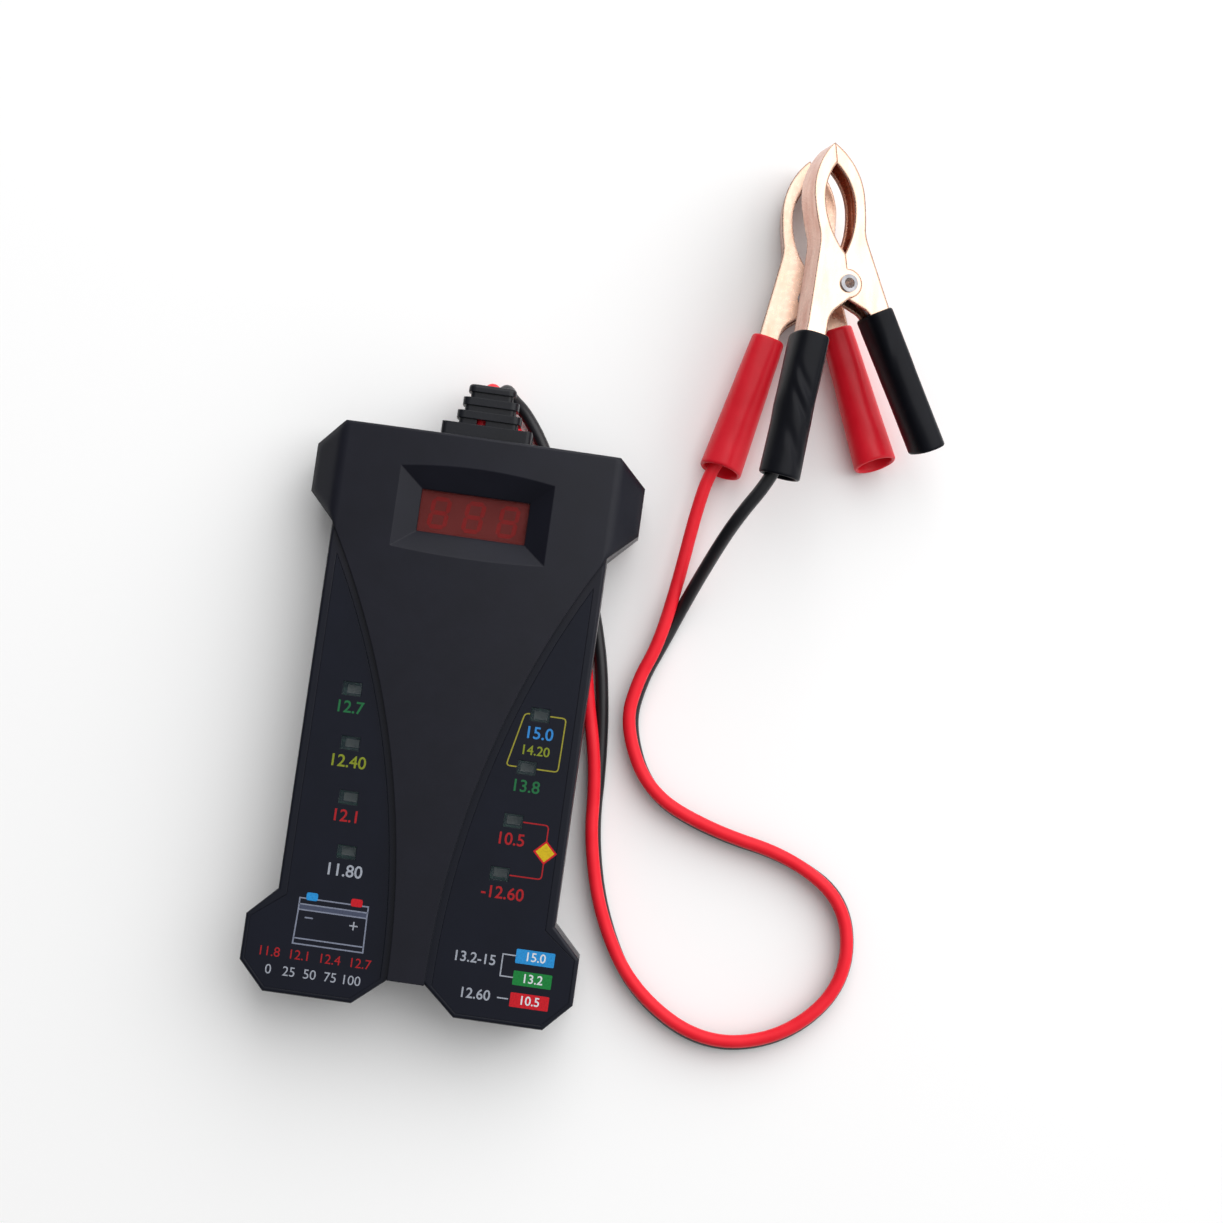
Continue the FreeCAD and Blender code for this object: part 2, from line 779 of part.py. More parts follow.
def make_screws():
    case_pieces = []
    for x, y in SCREWS:
        seat = dim("screw_seat")
        case_pieces.append(cylinder("head", x, y, seat - dim("screw_head"), dim("screw_head_radius"),
                                    dim("screw_head")))
        case_pieces.append(cylinder("shank", x, y, seat, dim("screw_radius"),
                                    SPLIT - seat + dim("screw_reach") - dim("head_clearance")))
    board_pieces = []
    for x, y in POSTS:
        seat = dim("board_height")
        board_pieces.append(cylinder("head", x, y, seat - dim("board_screw_head"),
                                     dim("board_screw_head_radius"), dim("board_screw_head")))
        board_pieces.append(cylinder("shank", x, y, seat, dim("board_screw_radius"),
                                     dim("board_thickness") + dim("board_screw_depth") - dim("head_clearance")))
    return [fused("case_screws", case_pieces), fused("board_screws", board_pieces)]


# Strain relief and leads

RIBS = 3
CORE_LENGTH = dim("rib_pitch") * RIBS


def make_strain_relief():
    """Built along its own Z, which points out of the case; its own Y points to the back."""
    body = new_body("strain_relief")
    wall = dim("wall")
    flange = dim("flange_thickness")
    neck_gap = dim("relief_clearance")

    sketch = sketch_on(body, "stop", "XY_Plane", -wall - neck_gap - dim("stop_thickness"))
    rounded_rectangle(sketch, dim("stop_width"), dim("stop_height"), dim("flange_round"))
    pad(body, sketch, dim("stop_thickness"))
    sketch = sketch_on(body, "neck", "XY_Plane", -wall - neck_gap)
    centred_rectangle(sketch, 0 * wall, 0 * wall, dim("neck_width"), dim("neck_height"))
    pad(body, sketch, wall + 2 * neck_gap)
    sketch = sketch_on(body, "flange", "XY_Plane", neck_gap)
    rounded_rectangle(sketch, dim("flange_width"), dim("flange_height"), dim("flange_round"))
    pad(body, sketch, flange - neck_gap)
    groove = dim("rib_pitch") - dim("rib_thickness")
    for n in range(RIBS):
        start = flange + dim("rib_pitch") * n
        width = dim("rib_width") - dim("rib_width_step") * n
        height = dim("rib_height") - dim("rib_height_step") * n
        waste = 2 * dim("groove_depth")
        sketch = sketch_on(body, "groove", "XY_Plane", start)
        rounded_rectangle(sketch, width - waste, height - waste, dim("rib_round") - dim("groove_depth"))
        pad(body, sketch, groove)
        sketch = sketch_on(body, "rib", "XY_Plane", start + groove)
        rounded_rectangle(sketch, width, height, dim("rib_round"))
        pad(body, sketch, dim("rib_thickness"))
    dress(body, "Fillet", "Radius", dim("rib_end_round"), lambda edge: level(edge, flange + CORE_LENGTH))

    # Channel for the two leads; a notch in the first groove shows the red one.
    bore = dim("lead_diameter") / 2 + dim("lead_clearance")
    reach = dim("lead_spacing") / 2
    length = wall + neck_gap + dim("stop_thickness") + flange + CORE_LENGTH
    sketch = sketch_on(body, "channel", "XY_Plane", -wall - neck_gap - dim("stop_thickness"))
    loop(sketch, [(-reach, -bore), (reach, -bore, bore * ARC_SLACK, "left"), (reach, bore),
                  (-reach, bore, bore * ARC_SLACK, "left")])
    pocket(body, sketch, length, True)
    sketch = sketch_on(body, "notch", "XY_Plane", flange)
    centred_rectangle(sketch, -reach, -dim("rib_height") / 2, dim("notch_width"), dim("rib_height"))
    pocket(body, sketch, groove, True)

    # The leads fold back under the case, through the open underside of the last ribs.
    sketch = sketch_on(body, "fold", "XY_Plane", flange + CORE_LENGTH - dim("fold_gap"))
    rectangle(sketch, -reach - bore, 0 * bore, dim("fold_side"), dim("rib_height"))
    pocket(body, sketch, dim("fold_gap"), True)
    sketch = sketch_on(body, "fold_flare", "XY_Plane", flange + CORE_LENGTH - dim("fold_gap") / 2)
    rectangle(sketch, 0 * bore, -bore, dim("fold_side"), dim("rib_height"))
    pocket(body, sketch, dim("fold_gap") / 2, True)
    body.Placement = Placement(Vector(0, HALF_LENGTH.value, SPLIT.value), Rotation(Vector(1, 0, 0), -90))
    return body


RED_ROUTE = [
    (-1.55, 57.9, 11.0), (-1.57, 61.7, 11.02), (-1.55, 66.2, 11.0), (-1.5, 69.8, 11.0),
    (-1.45, 72.5, 11.0), (-0.7, 74.9, 9.2), (0.1, 75.1, 6.4), (0.4, 73.2, 4.4), (3.6, 69.8, 2.3),
    (8.6, 63.2, 1.55), (15.8, 49.7, 1.5), (23.2, 33.6, 1.5), (28.3, 19.0, 1.5), (30.5, 8.6, 2.5),
    (33.0, -1.0, 4.5), (34.4, -10.0, 4.55), (35.0, -21.0, 4.55), (39.4, -37.4, 4.55),
    (48.8, -52.6, 4.55), (65.9, -62.3, 4.55), (83.6, -58.2, 4.55), (95.4, -44.8, 4.55),
    (93.6, -27.6, 4.55), (79.9, -18.6, 4.55), (61.6, -15.3, 4.55), (46.2, -8.9, 4.55),
    (39.1, 5.3, 4.55), (40.6, 15.6, 4.55), (44.0, 24.0, 4.6), (46.4, 38.1, 4.6), (48.3, 54.8, 4.9),
    (50.2, 64.3, 5.1), (54.2, 70.6, 5.1), (56.0, 79.35, 5.1),
]
BLACK_ROUTE = [
    (1.55, 57.9, 11.0), (1.57, 61.7, 11.02), (1.55, 66.2, 11.0), (1.6, 69.8, 11.0),
    (1.55, 72.4, 11.0), (2.45, 75.0, 9.4), (3.25, 75.3, 6.9), (3.95, 74.0, 4.8), (7.4, 71.6, 2.4),
    (12.6, 64.4, 1.55), (19.2, 51.1, 1.5), (26.6, 35.8, 1.5), (31.3, 21.5, 1.5), (33.6, 9.0, 1.5),
    (34.9, -4.4, 1.5), (35.3, -19.6, 1.5), (39.6, -36.9, 1.5), (48.6, -53.0, 1.5), (65.9, -63.1, 1.5),
    (84.2, -58.8, 1.5), (96.0, -44.6, 1.5), (93.7, -26.8, 1.5), (79.6, -18.7, 1.5), (61.9, -15.8, 1.5),
    (46.5, -9.3, 1.5), (39.8, 5.3, 1.5), (41.6, 16.2, 1.5), (44.8, 24.0, 1.5), (47.5, 31.2, 1.9),
    (50.7, 39.2, 8.0), (54.8, 48.5, 17.6), (58.0, 54.4, 22.9), (62.2, 60.9, 25.6),
    (64.84, 68.1, 25.76), (65.82, 74.24, 25.27), (66.3, 80.34, 24.66),
]
ARC_SHARE = 0.45


def lead_path(points):
    """Straight runs joined by arcs as large as the runs allow."""
    places = [Vector(*point) for point in points]
    edges = []
    radii = []
    start = places[0]
    for before, corner, after in zip(places, places[1:], places[2:]):
        inward = before - corner
        onward = after - corner
        turn = math.pi - inward.getAngle(onward)
        cut = ARC_SHARE * min(inward.Length, onward.Length)
        radius = cut / math.tan(turn / 2)
        radii.append(radius)
        first = corner + inward.normalize() * cut
        last = corner + onward.normalize() * cut
        towards = (inward + onward).normalize()
        middle = corner + towards * (math.hypot(radius, cut) - radius)
        edges.append(Part.LineSegment(start, first).toShape())
        edges.append(Part.Arc(first, middle, last).toShape())
        start = last
    edges.append(Part.LineSegment(start, places[-1]).toShape())
    return Part.Wire(edges), radii


def make_lead(label, points):
    radius = dim("lead_diameter").value / 2
    path, radii = lead_path(points)
    forward = Vector(*points[1]) - Vector(*points[0])
    circle = Part.Wire(Part.Circle(Vector(*points[0]), forward, radius).toShape())
    solid = path.makePipeShell([circle], True, False)
    expected = math.pi * radius * radius * path.Length
    print(label, "length", round(path.Length, 1), "volume", round(solid.Volume), "of", round(expected))
    print(label, "radii", [round(number, 1) for number in radii])
    if abs(solid.Volume - expected) > 0.01 * expected:
        raise RuntimeError(f"{label}: the tube's volume does not match its length")
    lead = doc.addObject("Part::Feature", label)
    lead.Label = label
    lead.Shape = solid
    return lead


# Battery clips

HANDLE_SIN = sine(dim("handle_angle"))
HANDLE_COS = cosine(dim("handle_angle"))
SHOULDER = (dim("shoulder_half"), -dim("shoulder_y"))


def along_handle(distance, inward):
    """A point of the handle: down its length from the shoulder, and in from its back."""
    x = SHOULDER[0] + HANDLE_SIN * distance - HANDLE_COS * inward
    y = SHOULDER[1] - HANDLE_COS * distance - HANDLE_SIN * inward
    return x, y


def jaw_back(inset, tip_inset):
    """Back line of a jaw from its tip to the handle's end, moved inwards by a sheet or nothing."""
    bulge = dim("jaw_bulge_y")
    front = dim("jaw_length") - tip_inset
    half = dim("jaw_half") - inset
    nose = dim("tip_flat")
    throat = dim("throat_half") - inset
    return [
        (nose, front, arc_radius(half - nose, front - bulge), "right"),
        (half, bulge, arc_radius(half - throat, bulge - dim("throat_y")), "right"),
        (throat, dim("throat_y"), dim("throat_radius") + inset, "left"),
        (dim("neck_half") - inset, dim("neck_y")),
    ]


def make_jaw(label, width, hole, mirrored, pose):
    """Half of a clip: a bent channel with its back outwards and its two cheeks on the pivot."""
    body = new_body(label)
    gap = dim("jaw_gap") / 2
    mouth = dim("mouth_half")
    mouth_top = dim("jaw_length") - dim("tip_contact")
    lobe = dim("lobe_radius")
    cheek = jaw_back(as_size(0), as_size(0)) + [
        SHOULDER,
        along_handle(dim("handle_length"), as_size(0)),
        along_handle(dim("handle_length"), dim("handle_depth")),
        along_handle(as_size(0), dim("handle_depth")) + (dim("arch_radius"), "left"),
        (dim("arch_half"), -dim("arch_y")),
        (0 * lobe, -lobe, lobe * ARC_SLACK, "right"),
        (0 * lobe, lobe),
        (gap, dim("mouth_y"), arc_radius(mouth - gap, dim("mouth_bulge_y") - dim("mouth_y")), "left"),
        (mouth, dim("mouth_bulge_y"), arc_radius(mouth - gap, mouth_top - dim("mouth_bulge_y")), "left"),
        (gap, mouth_top),
        (gap, dim("jaw_length")),
    ]
    sketch = sketch_on(body, "cheek", "XY_Plane", -width / 2)
    loop(sketch, cheek, mirrored)
    pad(body, sketch, width)

    # Everything between the cheeks but the back is cut away.
    sheet_size = dim("sheet")
    end = dim("handle_length") + dim("jaw_length")
    hollow = jaw_back(sheet_size, sheet_size) + [
        along_handle(as_size(0), sheet_size),
        along_handle(end, sheet_size),
        (-dim("jaw_length"), -end),
        (-dim("jaw_length"), dim("jaw_length") - sheet_size),
    ]
    sketch = sketch_on(body, "hollow", "XY_Plane", -width / 2 + sheet_size)
    loop(sketch, hollow, mirrored)
    pocket(body, sketch, width - 2 * sheet_size, True)
    sketch = sketch_on(body, "pivot_hole", "XY_Plane", -width)
    disc(sketch, 0 * hole, 0 * hole, hole)
    pocket(body, sketch, 2 * width, True)
    body.Placement = pose
    return body


def make_rivet(label, pose):
    body = new_body(label)
    seat = dim("channel_width") / 2 + dim("rivet_seat")
    outer = seat + dim("rivet_head")
    sketch = sketch_on(body, "section", "XZ_Plane", as_size(0))
    loop(sketch, [
        (dim("rivet_bore"), -outer), (dim("rivet_head_radius"), -outer),
        (dim("rivet_head_radius"), -seat), (dim("rivet_radius"), -seat),
        (dim("rivet_radius"), seat), (dim("rivet_head_radius"), seat),
        (dim("rivet_head_radius"), outer), (dim("rivet_bore"), outer),
    ])
    revolve(body, sketch)
    body.Placement = pose
    return body


def make_spring(label, pose):
    """Torsion spring round the rivet; each leg presses on the inside of one handle."""
    wire = dim("spring_wire")
    radius = dim("rivet_radius") + dim("spring_clearance") + wire / 2
    turns = dim("spring_turns") + (180 - 2 * dim("spring_lead_angle")) / 360
    pitch = dim("spring_pitch")
    height = pitch * turns
    lead_angle = dim("spring_lead_angle")
    angle = lead_angle.value
    helix = doc.addObject("Part::Helix", f"{label}_helix")
    bind(helix, "Radius", radius)
    bind(helix, "Pitch", pitch)
    bind(helix, "Height", height)
    helix.Placement = Placement(Vector(0, 0, -height.value / 2), Rotation(Vector(0, 0, 1), angle))
    section = doc.addObject("Part::Circle", f"{label}_section")
    bind(section, "Radius", wire / 2)
    spin = Rotation(Vector(0, 0, 1), angle)
    start = spin.multVec(Vector(radius.value, 0, 0)) - Vector(0, 0, height.value / 2)
    section.Placement = Placement(start, spin * Rotation(Vector(1, 0, 0), 90))
    coil = doc.addObject("Part::Sweep", f"{label}_coil")
    coil.Sections = [section]
    coil.Spine = (helix, [])
    coil.Solid = True
    coil.Frenet = True
    across = (SHOULDER[0] - radius * cosine(lead_angle)) * HANDLE_COS
    across += (SHOULDER[1] - radius * sine(lead_angle)) * HANDLE_SIN
    across -= dim("sheet") + wire / 2 + dim("spring_rest")
    leg_length = across / sine(lead_angle - dim("handle_angle"))
    legs = []
    for side, foot in ((1, -height.value / 2), (-1, height.value / 2)):
        leg = doc.addObject("Part::Cylinder", f"{label}_leg")
        bind(leg, "Radius", wire / 2)
        bind(leg, "Height", leg_length)
        way = Vector(side * math.sin(math.radians(angle)), -math.cos(math.radians(angle)), 0)
        root_place = Vector(side * start.x, start.y, foot)
        leg.Placement = Placement(root_place, Rotation(Vector(0, 0, 1), way))
        legs.append(leg)
    spring = fused(label, [coil] + legs)
    spring.Placement = pose
    return spring


def make_sleeve(label, mirrored, start, slant, pose):
    """Soft tube: a flat oval over the metal handle, round at its open end, which is cut aslant."""
    body = new_body(label)
    wall = dim("sleeve_wall")
    thick = dim("channel_width") + 2 * dim("sleeve_clearance")
    narrow = dim("sleeve_root_width") - 2 * wall
    mouth = dim("sleeve_mouth") - 2 * wall
    length = dim("sleeve_length")
    for kind, grow in (("AdditiveLoft", wall), ("SubtractiveLoft", 0 * wall)):
        sections = []
        for place, width, height, radius in (
            (0 * wall, narrow, thick, dim("sleeve_root_corner") + grow),
            (dim("handle_length") - start, (narrow + mouth) / 2, thick,
             dim("sleeve_middle_corner") + grow),
            (length, mouth, mouth, mouth / 2 - dim("sleeve_mouth_flat") + grow),
        ):
            section = sketch_on(body, f"{kind}_section", "XY_Plane", place)
            rounded_rectangle(section, width + 2 * grow, height + 2 * grow, radius)
            sections.append(section)
        loft(body, kind, sections, ruled=True)
    half = dim("sleeve_mouth") / 2
    sketch = sketch_on(body, "mouth_cut", "YZ_Plane", dim("sleeve_mouth"))
    loop(sketch, [
        (-half, length), (half, length - 2 * half * sine(slant) / cosine(slant)),
        (2 * half, length), (2 * half, length + half), (-half, length + half),
    ], mirrored)
    pocket(body, sketch, 2 * dim("sleeve_mouth"))
    side = -1 if mirrored else 1
    x, y = along_handle(start, dim("handle_depth") / 2)
    down = Vector(side * HANDLE_SIN.value, -HANDLE_COS.value, 0)
    out = Vector(side * HANDLE_COS.value, HANDLE_SIN.value, 0)
    seat = Placement(Vector(side * x.value, y.value, 0), Rotation(out, down.cross(out), down, "ZXY"))
    body.Placement = pose.multiply(seat)
    return body


def clip_poses():
    """The red clip lies flat on the table; the black one lies over it, tipped to its right."""
    half = dim("channel_width") / 2 + dim("sleeve_clearance") + dim("sleeve_wall")
    tilt = dim("black_clip_roll")
    arm, _ = along_handle(dim("free_sleeve_start") + dim("sleeve_length"), dim("handle_depth") / 2)
    red_z = half + dim("clip_gap")
    black_z = red_z + half + dim("clip_gap") + half / cosine(tilt) + arm * sine(tilt)
    poses = {}
    for colour, z in (("red", red_z), ("black", black_z)):
        turn = Rotation(Vector(0, 0, 1), dim(f"{colour}_clip_turn").value)
        roll = Rotation(Vector(0, 1, 0), dim(f"{colour}_clip_roll").value)
        place = Vector(dim(f"{colour}_clip_x").value, dim(f"{colour}_clip_y").value, z.value)
        poses[colour] = Placement(place, turn * roll)
        print(colour, "pivot", place, "axis", (turn * roll).multVec(Vector(0, 0, -1)))
    return poses


def make_clip(colour, pose):
    inner_width = dim("channel_width") - 2 * dim("sheet") - 2 * dim("nest_gap")
    wire_hole = dim("rivet_radius") + dim("rivet_fit")
    free_hole = dim("rivet_radius") + dim("pivot_clearance")
    slant = dim(f"{colour}_mouth_slant")
    return [
        make_jaw(f"{colour}_wire_jaw", dim("channel_width"), wire_hole, True, pose),
        make_jaw(f"{colour}_free_jaw", inner_width, free_hole, False, pose),
        make_rivet(f"{colour}_rivet", pose),
        make_spring(f"{colour}_spring", pose),
        make_sleeve(f"{colour}_wire_sleeve", True, dim(f"{colour}_wire_sleeve_start"), slant, pose),
        make_sleeve(f"{colour}_free_sleeve", False, dim("free_sleeve_start"), slant, pose),
    ]


def build():
    nodes = [make_front_cover(), make_back_cover()]
    nodes += [make_film("right_film", False), make_film("left_film", True)]
    nodes += make_lights() + make_display()
    nodes += [make_board()] + make_components() + make_screws()
    nodes.append(make_strain_relief())
    nodes += [make_lead("red_lead", RED_ROUTE), make_lead("black_lead", BLACK_ROUTE)]
    for colour, pose in clip_poses().items():
        nodes += make_clip(colour, pose)
    doc.recompute()
    return nodes


def check_and_write(nodes):
    for item in doc.Objects:
        if "Invalid" in item.State or "Error" in item.State:
            raise RuntimeError(f"{item.Label} did not build: {item.State}")
    for node in nodes:
        if node.Shape.isNull() or not node.Shape.isValid():
            raise RuntimeError(f"{node.Label} has no valid shape")
    os.makedirs("parts", exist_ok=True)
    for node in nodes:
        node.Shape.exportStep(f"parts/{node.Label}.step")
        print(node.Label, len(node.Shape.Solids), "solids", round(node.Shape.Volume, 1), "mm3")


check_and_write(build())
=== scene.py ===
import json
import math

import bpy
from mathutils import Euler, Matrix, Vector, noise


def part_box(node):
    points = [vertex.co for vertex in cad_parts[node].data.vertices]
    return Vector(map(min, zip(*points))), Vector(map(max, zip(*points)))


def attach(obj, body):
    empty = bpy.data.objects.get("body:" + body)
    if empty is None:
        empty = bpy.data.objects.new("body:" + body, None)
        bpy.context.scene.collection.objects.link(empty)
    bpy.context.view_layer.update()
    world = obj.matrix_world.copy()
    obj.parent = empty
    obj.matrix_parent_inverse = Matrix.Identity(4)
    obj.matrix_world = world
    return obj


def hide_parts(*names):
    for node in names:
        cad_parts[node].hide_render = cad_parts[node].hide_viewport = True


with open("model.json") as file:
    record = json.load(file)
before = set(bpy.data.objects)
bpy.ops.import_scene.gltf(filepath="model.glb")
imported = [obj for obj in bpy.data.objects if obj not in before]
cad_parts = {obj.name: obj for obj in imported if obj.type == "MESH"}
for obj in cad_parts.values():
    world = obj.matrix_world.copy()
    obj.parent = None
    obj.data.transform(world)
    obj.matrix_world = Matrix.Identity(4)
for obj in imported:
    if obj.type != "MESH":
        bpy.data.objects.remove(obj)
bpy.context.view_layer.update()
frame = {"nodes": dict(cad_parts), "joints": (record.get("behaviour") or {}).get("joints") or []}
nodes = frame["nodes"]

# Car battery tester with a T-shaped face, two leads and two spring clips.
# Metres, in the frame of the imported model: X right, Y towards the leads, Z out of the face.

MM = 0.001
IMAGE_SIDE = 1223


# Colours and node helpers

def tone(red, green, blue):
    """A display colour, 0 to 255, as the linear colour that shaders take."""
    linear = []
    for level in (red, green, blue):
        share = level / 255
        linear.append(share / 12.92 if share <= 0.04045 else ((share + 0.055) / 1.055) ** 2.4)
    return (*linear, 1.0)


def grey(level, blue=1.0):
    """A linear grey, with its blue raised a little for a cold metal."""
    return (level, level, level * blue, 1.0)


def node(material, kind, inputs=None, **settings):
    made = material.node_tree.nodes.new(kind)
    for name, value in settings.items():
        setattr(made, name, value)
    for name, value in (inputs or {}).items():
        feed(material, made.inputs[name], value)
    return made


def feed(material, socket, value):
    """Links an output to a socket, or sets the socket's own value."""
    if isinstance(value, bpy.types.NodeSocket):
        material.node_tree.links.new(value, socket)
    else:
        socket.default_value = value


def new_material(name, **sockets):
    """A material with one Principled shader; sockets are its even, all-over values."""
    material = bpy.data.materials.new(name)
    material.use_nodes = True
    for socket, value in sockets.items():
        shader_of(material).inputs[socket.replace("_", " ")].default_value = value
    return material


def shader_of(material):
    return material.node_tree.nodes["Principled BSDF"]


def join(material, output, socket):
    material.node_tree.links.new(output, shader_of(material).inputs[socket])


def place(material):
    return node(material, "ShaderNodeTexCoord").outputs["Object"]


def speckle(material, size, detail=3.0, where=None):
    """Noise whose blots are about one size across, in metres."""
    return node(material, "ShaderNodeTexNoise", {
        "Vector": where or place(material), "Scale": 1 / size, "Detail": detail, "Roughness": 0.5,
    }).outputs["Fac"]


def between(material, factor, stops):
    """Colours along a factor; stops are (position, colour)."""
    ramp = node(material, "ShaderNodeValToRGB", {"Fac": factor})
    elements = ramp.color_ramp.elements
    while len(elements) < len(stops):
        elements.new(0.5)
    for element, (position, colour) in zip(elements, stops):
        element.position = position
        element.color = colour
    return ramp.outputs["Color"]


def blotted(material, size, dark, light, detail=3.0, start=0.3, end=0.7):
    """Gives the shader two tones in soft blots of about one size."""
    blots = speckle(material, size, detail)
    join(material, between(material, blots, [(start, dark), (end, light)]), "Base Color")


def spread(material, factor, low, high):
    """A factor of 0 to 1 stretched between two values."""
    stretched = node(material, "ShaderNodeMapRange", {"Value": factor, "To Min": low, "To Max": high})
    return stretched.outputs["Result"]


def rising(material, level, band):
    """0 below the start of a band and 1 above its end."""
    start, end = band
    ramp = node(material, "ShaderNodeMapRange", {"Value": level, "From Min": start, "From Max": end})
    return ramp.outputs["Result"]


def mixed(material, factor, low, high):
    """Two colours, sockets or values, mixed by a factor."""
    mix = node(material, "ShaderNodeMix", data_type="RGBA")
    for index, value in ((0, factor), (6, low), (7, high)):
        feed(material, mix.inputs[index], value)
    return mix.outputs[2]


def reckoned(material, operation, *values):
    """A Math node on one or two values."""
    made = node(material, "ShaderNodeMath", operation=operation)
    for socket, value in zip(made.inputs, values):
        feed(material, socket, value)
    return made.outputs["Value"]


def in_the_open(material, distance, band):
    """0 in hollows and 1 on open faces, by what stands within a distance."""
    shelter = node(material, "ShaderNodeAmbientOcclusion", {"Distance": distance}, samples=8, only_local=True)
    return rising(material, shelter.outputs["AO"], band)


def soft_edges(material, radius):
    """Normals turned over the solid's edges, as the small radii of a mould or a bend do."""
    return node(material, "ShaderNodeBevel", {"Radius": radius}, samples=6).outputs["Normal"]


def relief(material, height, depth, strength=1.0, below=None):
    bump = node(material, "ShaderNodeBump", {"Height": height, "Distance": depth, "Strength": strength})
    if below:
        material.node_tree.links.new(below, bump.inputs["Normal"])
    join(material, bump.outputs["Normal"], "Normal")


# Materials

CASE_TONES = (tone(20, 21, 30), tone(23, 24, 34))
FILM_TONES = (tone(15, 18, 29), tone(17, 20, 32))
CASE_SHINE = 0.24
CASE_EDGE = 0.3 * MM
EAR_ROLL = 2.8 * MM
# Bands of the case: the shelf's top in Z and its end in Y, and where the ears start in X and in Y.
SHELF_TOP = (20.15 * MM, 20.45 * MM)
SHELF_END = (22 * MM, 28 * MM)
EAR_SIDE = (29.0 * MM, 30.5 * MM)
EAR_FOOT = (37.0 * MM, 40.0 * MM)

# Copper along its streaks, on faces and on walls, where the walls carry painted shade, then painted shade on
# the turned edges and in hollows.
COPPER_FACE = [(0.25, (0.66, 0.42, 0.30, 1)), (0.5, (0.70, 0.49, 0.38, 1)), (0.8, (0.74, 0.56, 0.45, 1))]
COPPER_WALL_SHADE = [(0.3, (0.62, 0.33, 0.25, 1)), (0.7, (0.80, 0.54, 0.44, 1))]
COPPER_EDGE_SHADE = (0.15, 0.055, 0.035, 1)
COPPER_HOLLOW_SHADE = (0.50, 0.16, 0.08, 1)
COPPER_BEND = 0.7 * MM
# How far a normal points up where a wall turns into an edge, and the edge into a face.
WALL_TO_EDGE = (0.35, 0.45)
EDGE_TO_FACE = (0.84, 0.94)


def moulded_plastic(name, dark, light, rough, grain, depth, shine=0.3, edge=0.0):
    """Moulded plastic: faint cloudy tone, uneven sheen and a fine spark-eroded grain."""
    material = new_material(name, IOR=1.46, Specular_IOR_Level=shine)
    blotted(material, 9 * MM, dark, light)
    join(material, spread(material, speckle(material, 2.2 * MM), rough - 0.04, rough + 0.04), "Roughness")
    below = soft_edges(material, edge) if edge else None
    relief(material, speckle(material, grain, detail=2.0), depth, below=below)
    return material


def case_plastic():
    """Case plastic, deeper in tone on the low shelf that carries the panel films."""
    material = moulded_plastic("case_plastic", *CASE_TONES, rough=0.34, grain=0.35 * MM, depth=0.008 * MM,
                               shine=CASE_SHINE, edge=CASE_EDGE)
    raised = shader_of(material).inputs["Base Color"].links[0].from_socket
    spot = node(material, "ShaderNodeSeparateXYZ", {"Vector": place(material)}).outputs
    above = rising(material, spot["Z"], SHELF_TOP)
    beyond = rising(material, spot["Y"], SHELF_END)
    upper = reckoned(material, "MAXIMUM", above, beyond)
    join(material, mixed(material, upper, FILM_TONES[0], raised), "Base Color")

    # The edges of the two ears are rolled, so their normals turn over a wider band.
    outward = rising(material, reckoned(material, "ABSOLUTE", spot["X"]), EAR_SIDE)
    on_ears = reckoned(material, "MULTIPLY", outward, rising(material, spot["Y"], EAR_FOOT))
    edges = next(item for item in material.node_tree.nodes if item.type == "BEVEL")
    feed(material, edges.inputs["Radius"], spread(material, on_ears, CASE_EDGE, EAR_ROLL))
    return material


def soft_vinyl(name, dark, light, rough, shine):
    """Soft vinyl: colour a little uneven, faint flow lines and a waxy sheen."""
    material = new_material(name, Specular_IOR_Level=shine)
    blotted(material, 6 * MM, dark, light, detail=2.0, start=0.25, end=0.75)
    join(material, spread(material, speckle(material, 1.5 * MM), rough - 0.05, rough + 0.05), "Roughness")
    relief(material, speckle(material, 0.6 * MM, detail=4.0), depth=0.015 * MM, strength=0.6)
    return material


def copper_plate():
    """Copper-plated spring steel: pale rolled faces, with painted shade as redder, darker walls, a dark brown
    band on the turned edges and dark red-brown in the hollows.
    """
    material = new_material("copper_plate", Metallic=1.0)
    stretched = node(material, "ShaderNodeMapping", {"Vector": place(material), "Scale": (1.0, 0.25, 1.0)})
    streak = speckle(material, 2.4 * MM, detail=5.0, where=stretched.outputs["Vector"])
    face = between(material, streak, COPPER_FACE)
    # Painted shade: walls that point sideways are redder and darker than the faces that point up.
    wall_shade = between(material, streak, COPPER_WALL_SHADE)
    turned = soft_edges(material, COPPER_BEND)
    upward = node(material, "ShaderNodeSeparateXYZ", {"Vector": turned}).outputs["Z"]
    # Painted shade: a dark brown band where the normal turns between wall and face.
    side = mixed(material, rising(material, upward, WALL_TO_EDGE), wall_shade, COPPER_EDGE_SHADE)
    outside = mixed(material, rising(material, upward, EDGE_TO_FACE), side, face)
    # Painted shade: dark red-brown in the hollows, found by ambient occlusion.
    in_open = in_the_open(material, distance=6 * MM, band=(0.35, 0.8))
    join(material, mixed(material, in_open, COPPER_HOLLOW_SHADE, outside), "Base Color")
    join(material, spread(material, speckle(material, 1.1 * MM, detail=4.0), 0.2, 0.36), "Roughness")
    relief(material, streak, depth=0.02 * MM, strength=0.5, below=turned)
    return material


def plated_steel(name, dull, clean, bore=None):
    """Plated steel, smudged by handling: its level where dull, where clean, and a painted light level in the
    bore.
    """
    material = new_material(name, Metallic=1.0)
    smudge = speckle(material, 1.6 * MM, detail=4.0)
    colour = between(material, smudge, [(0.3, grey(dull, blue=1.06)), (0.7, grey(clean, blue=1.06))])
    if bore:
        # Painted light: the hollow of the bore is painted bright grey.
        in_open = in_the_open(material, distance=3 * MM, band=(0.4, 0.8))
        colour = mixed(material, in_open, grey(bore), colour)
    join(material, colour, "Base Color")
    join(material, spread(material, smudge, 0.15, 0.35), "Roughness")
    return material


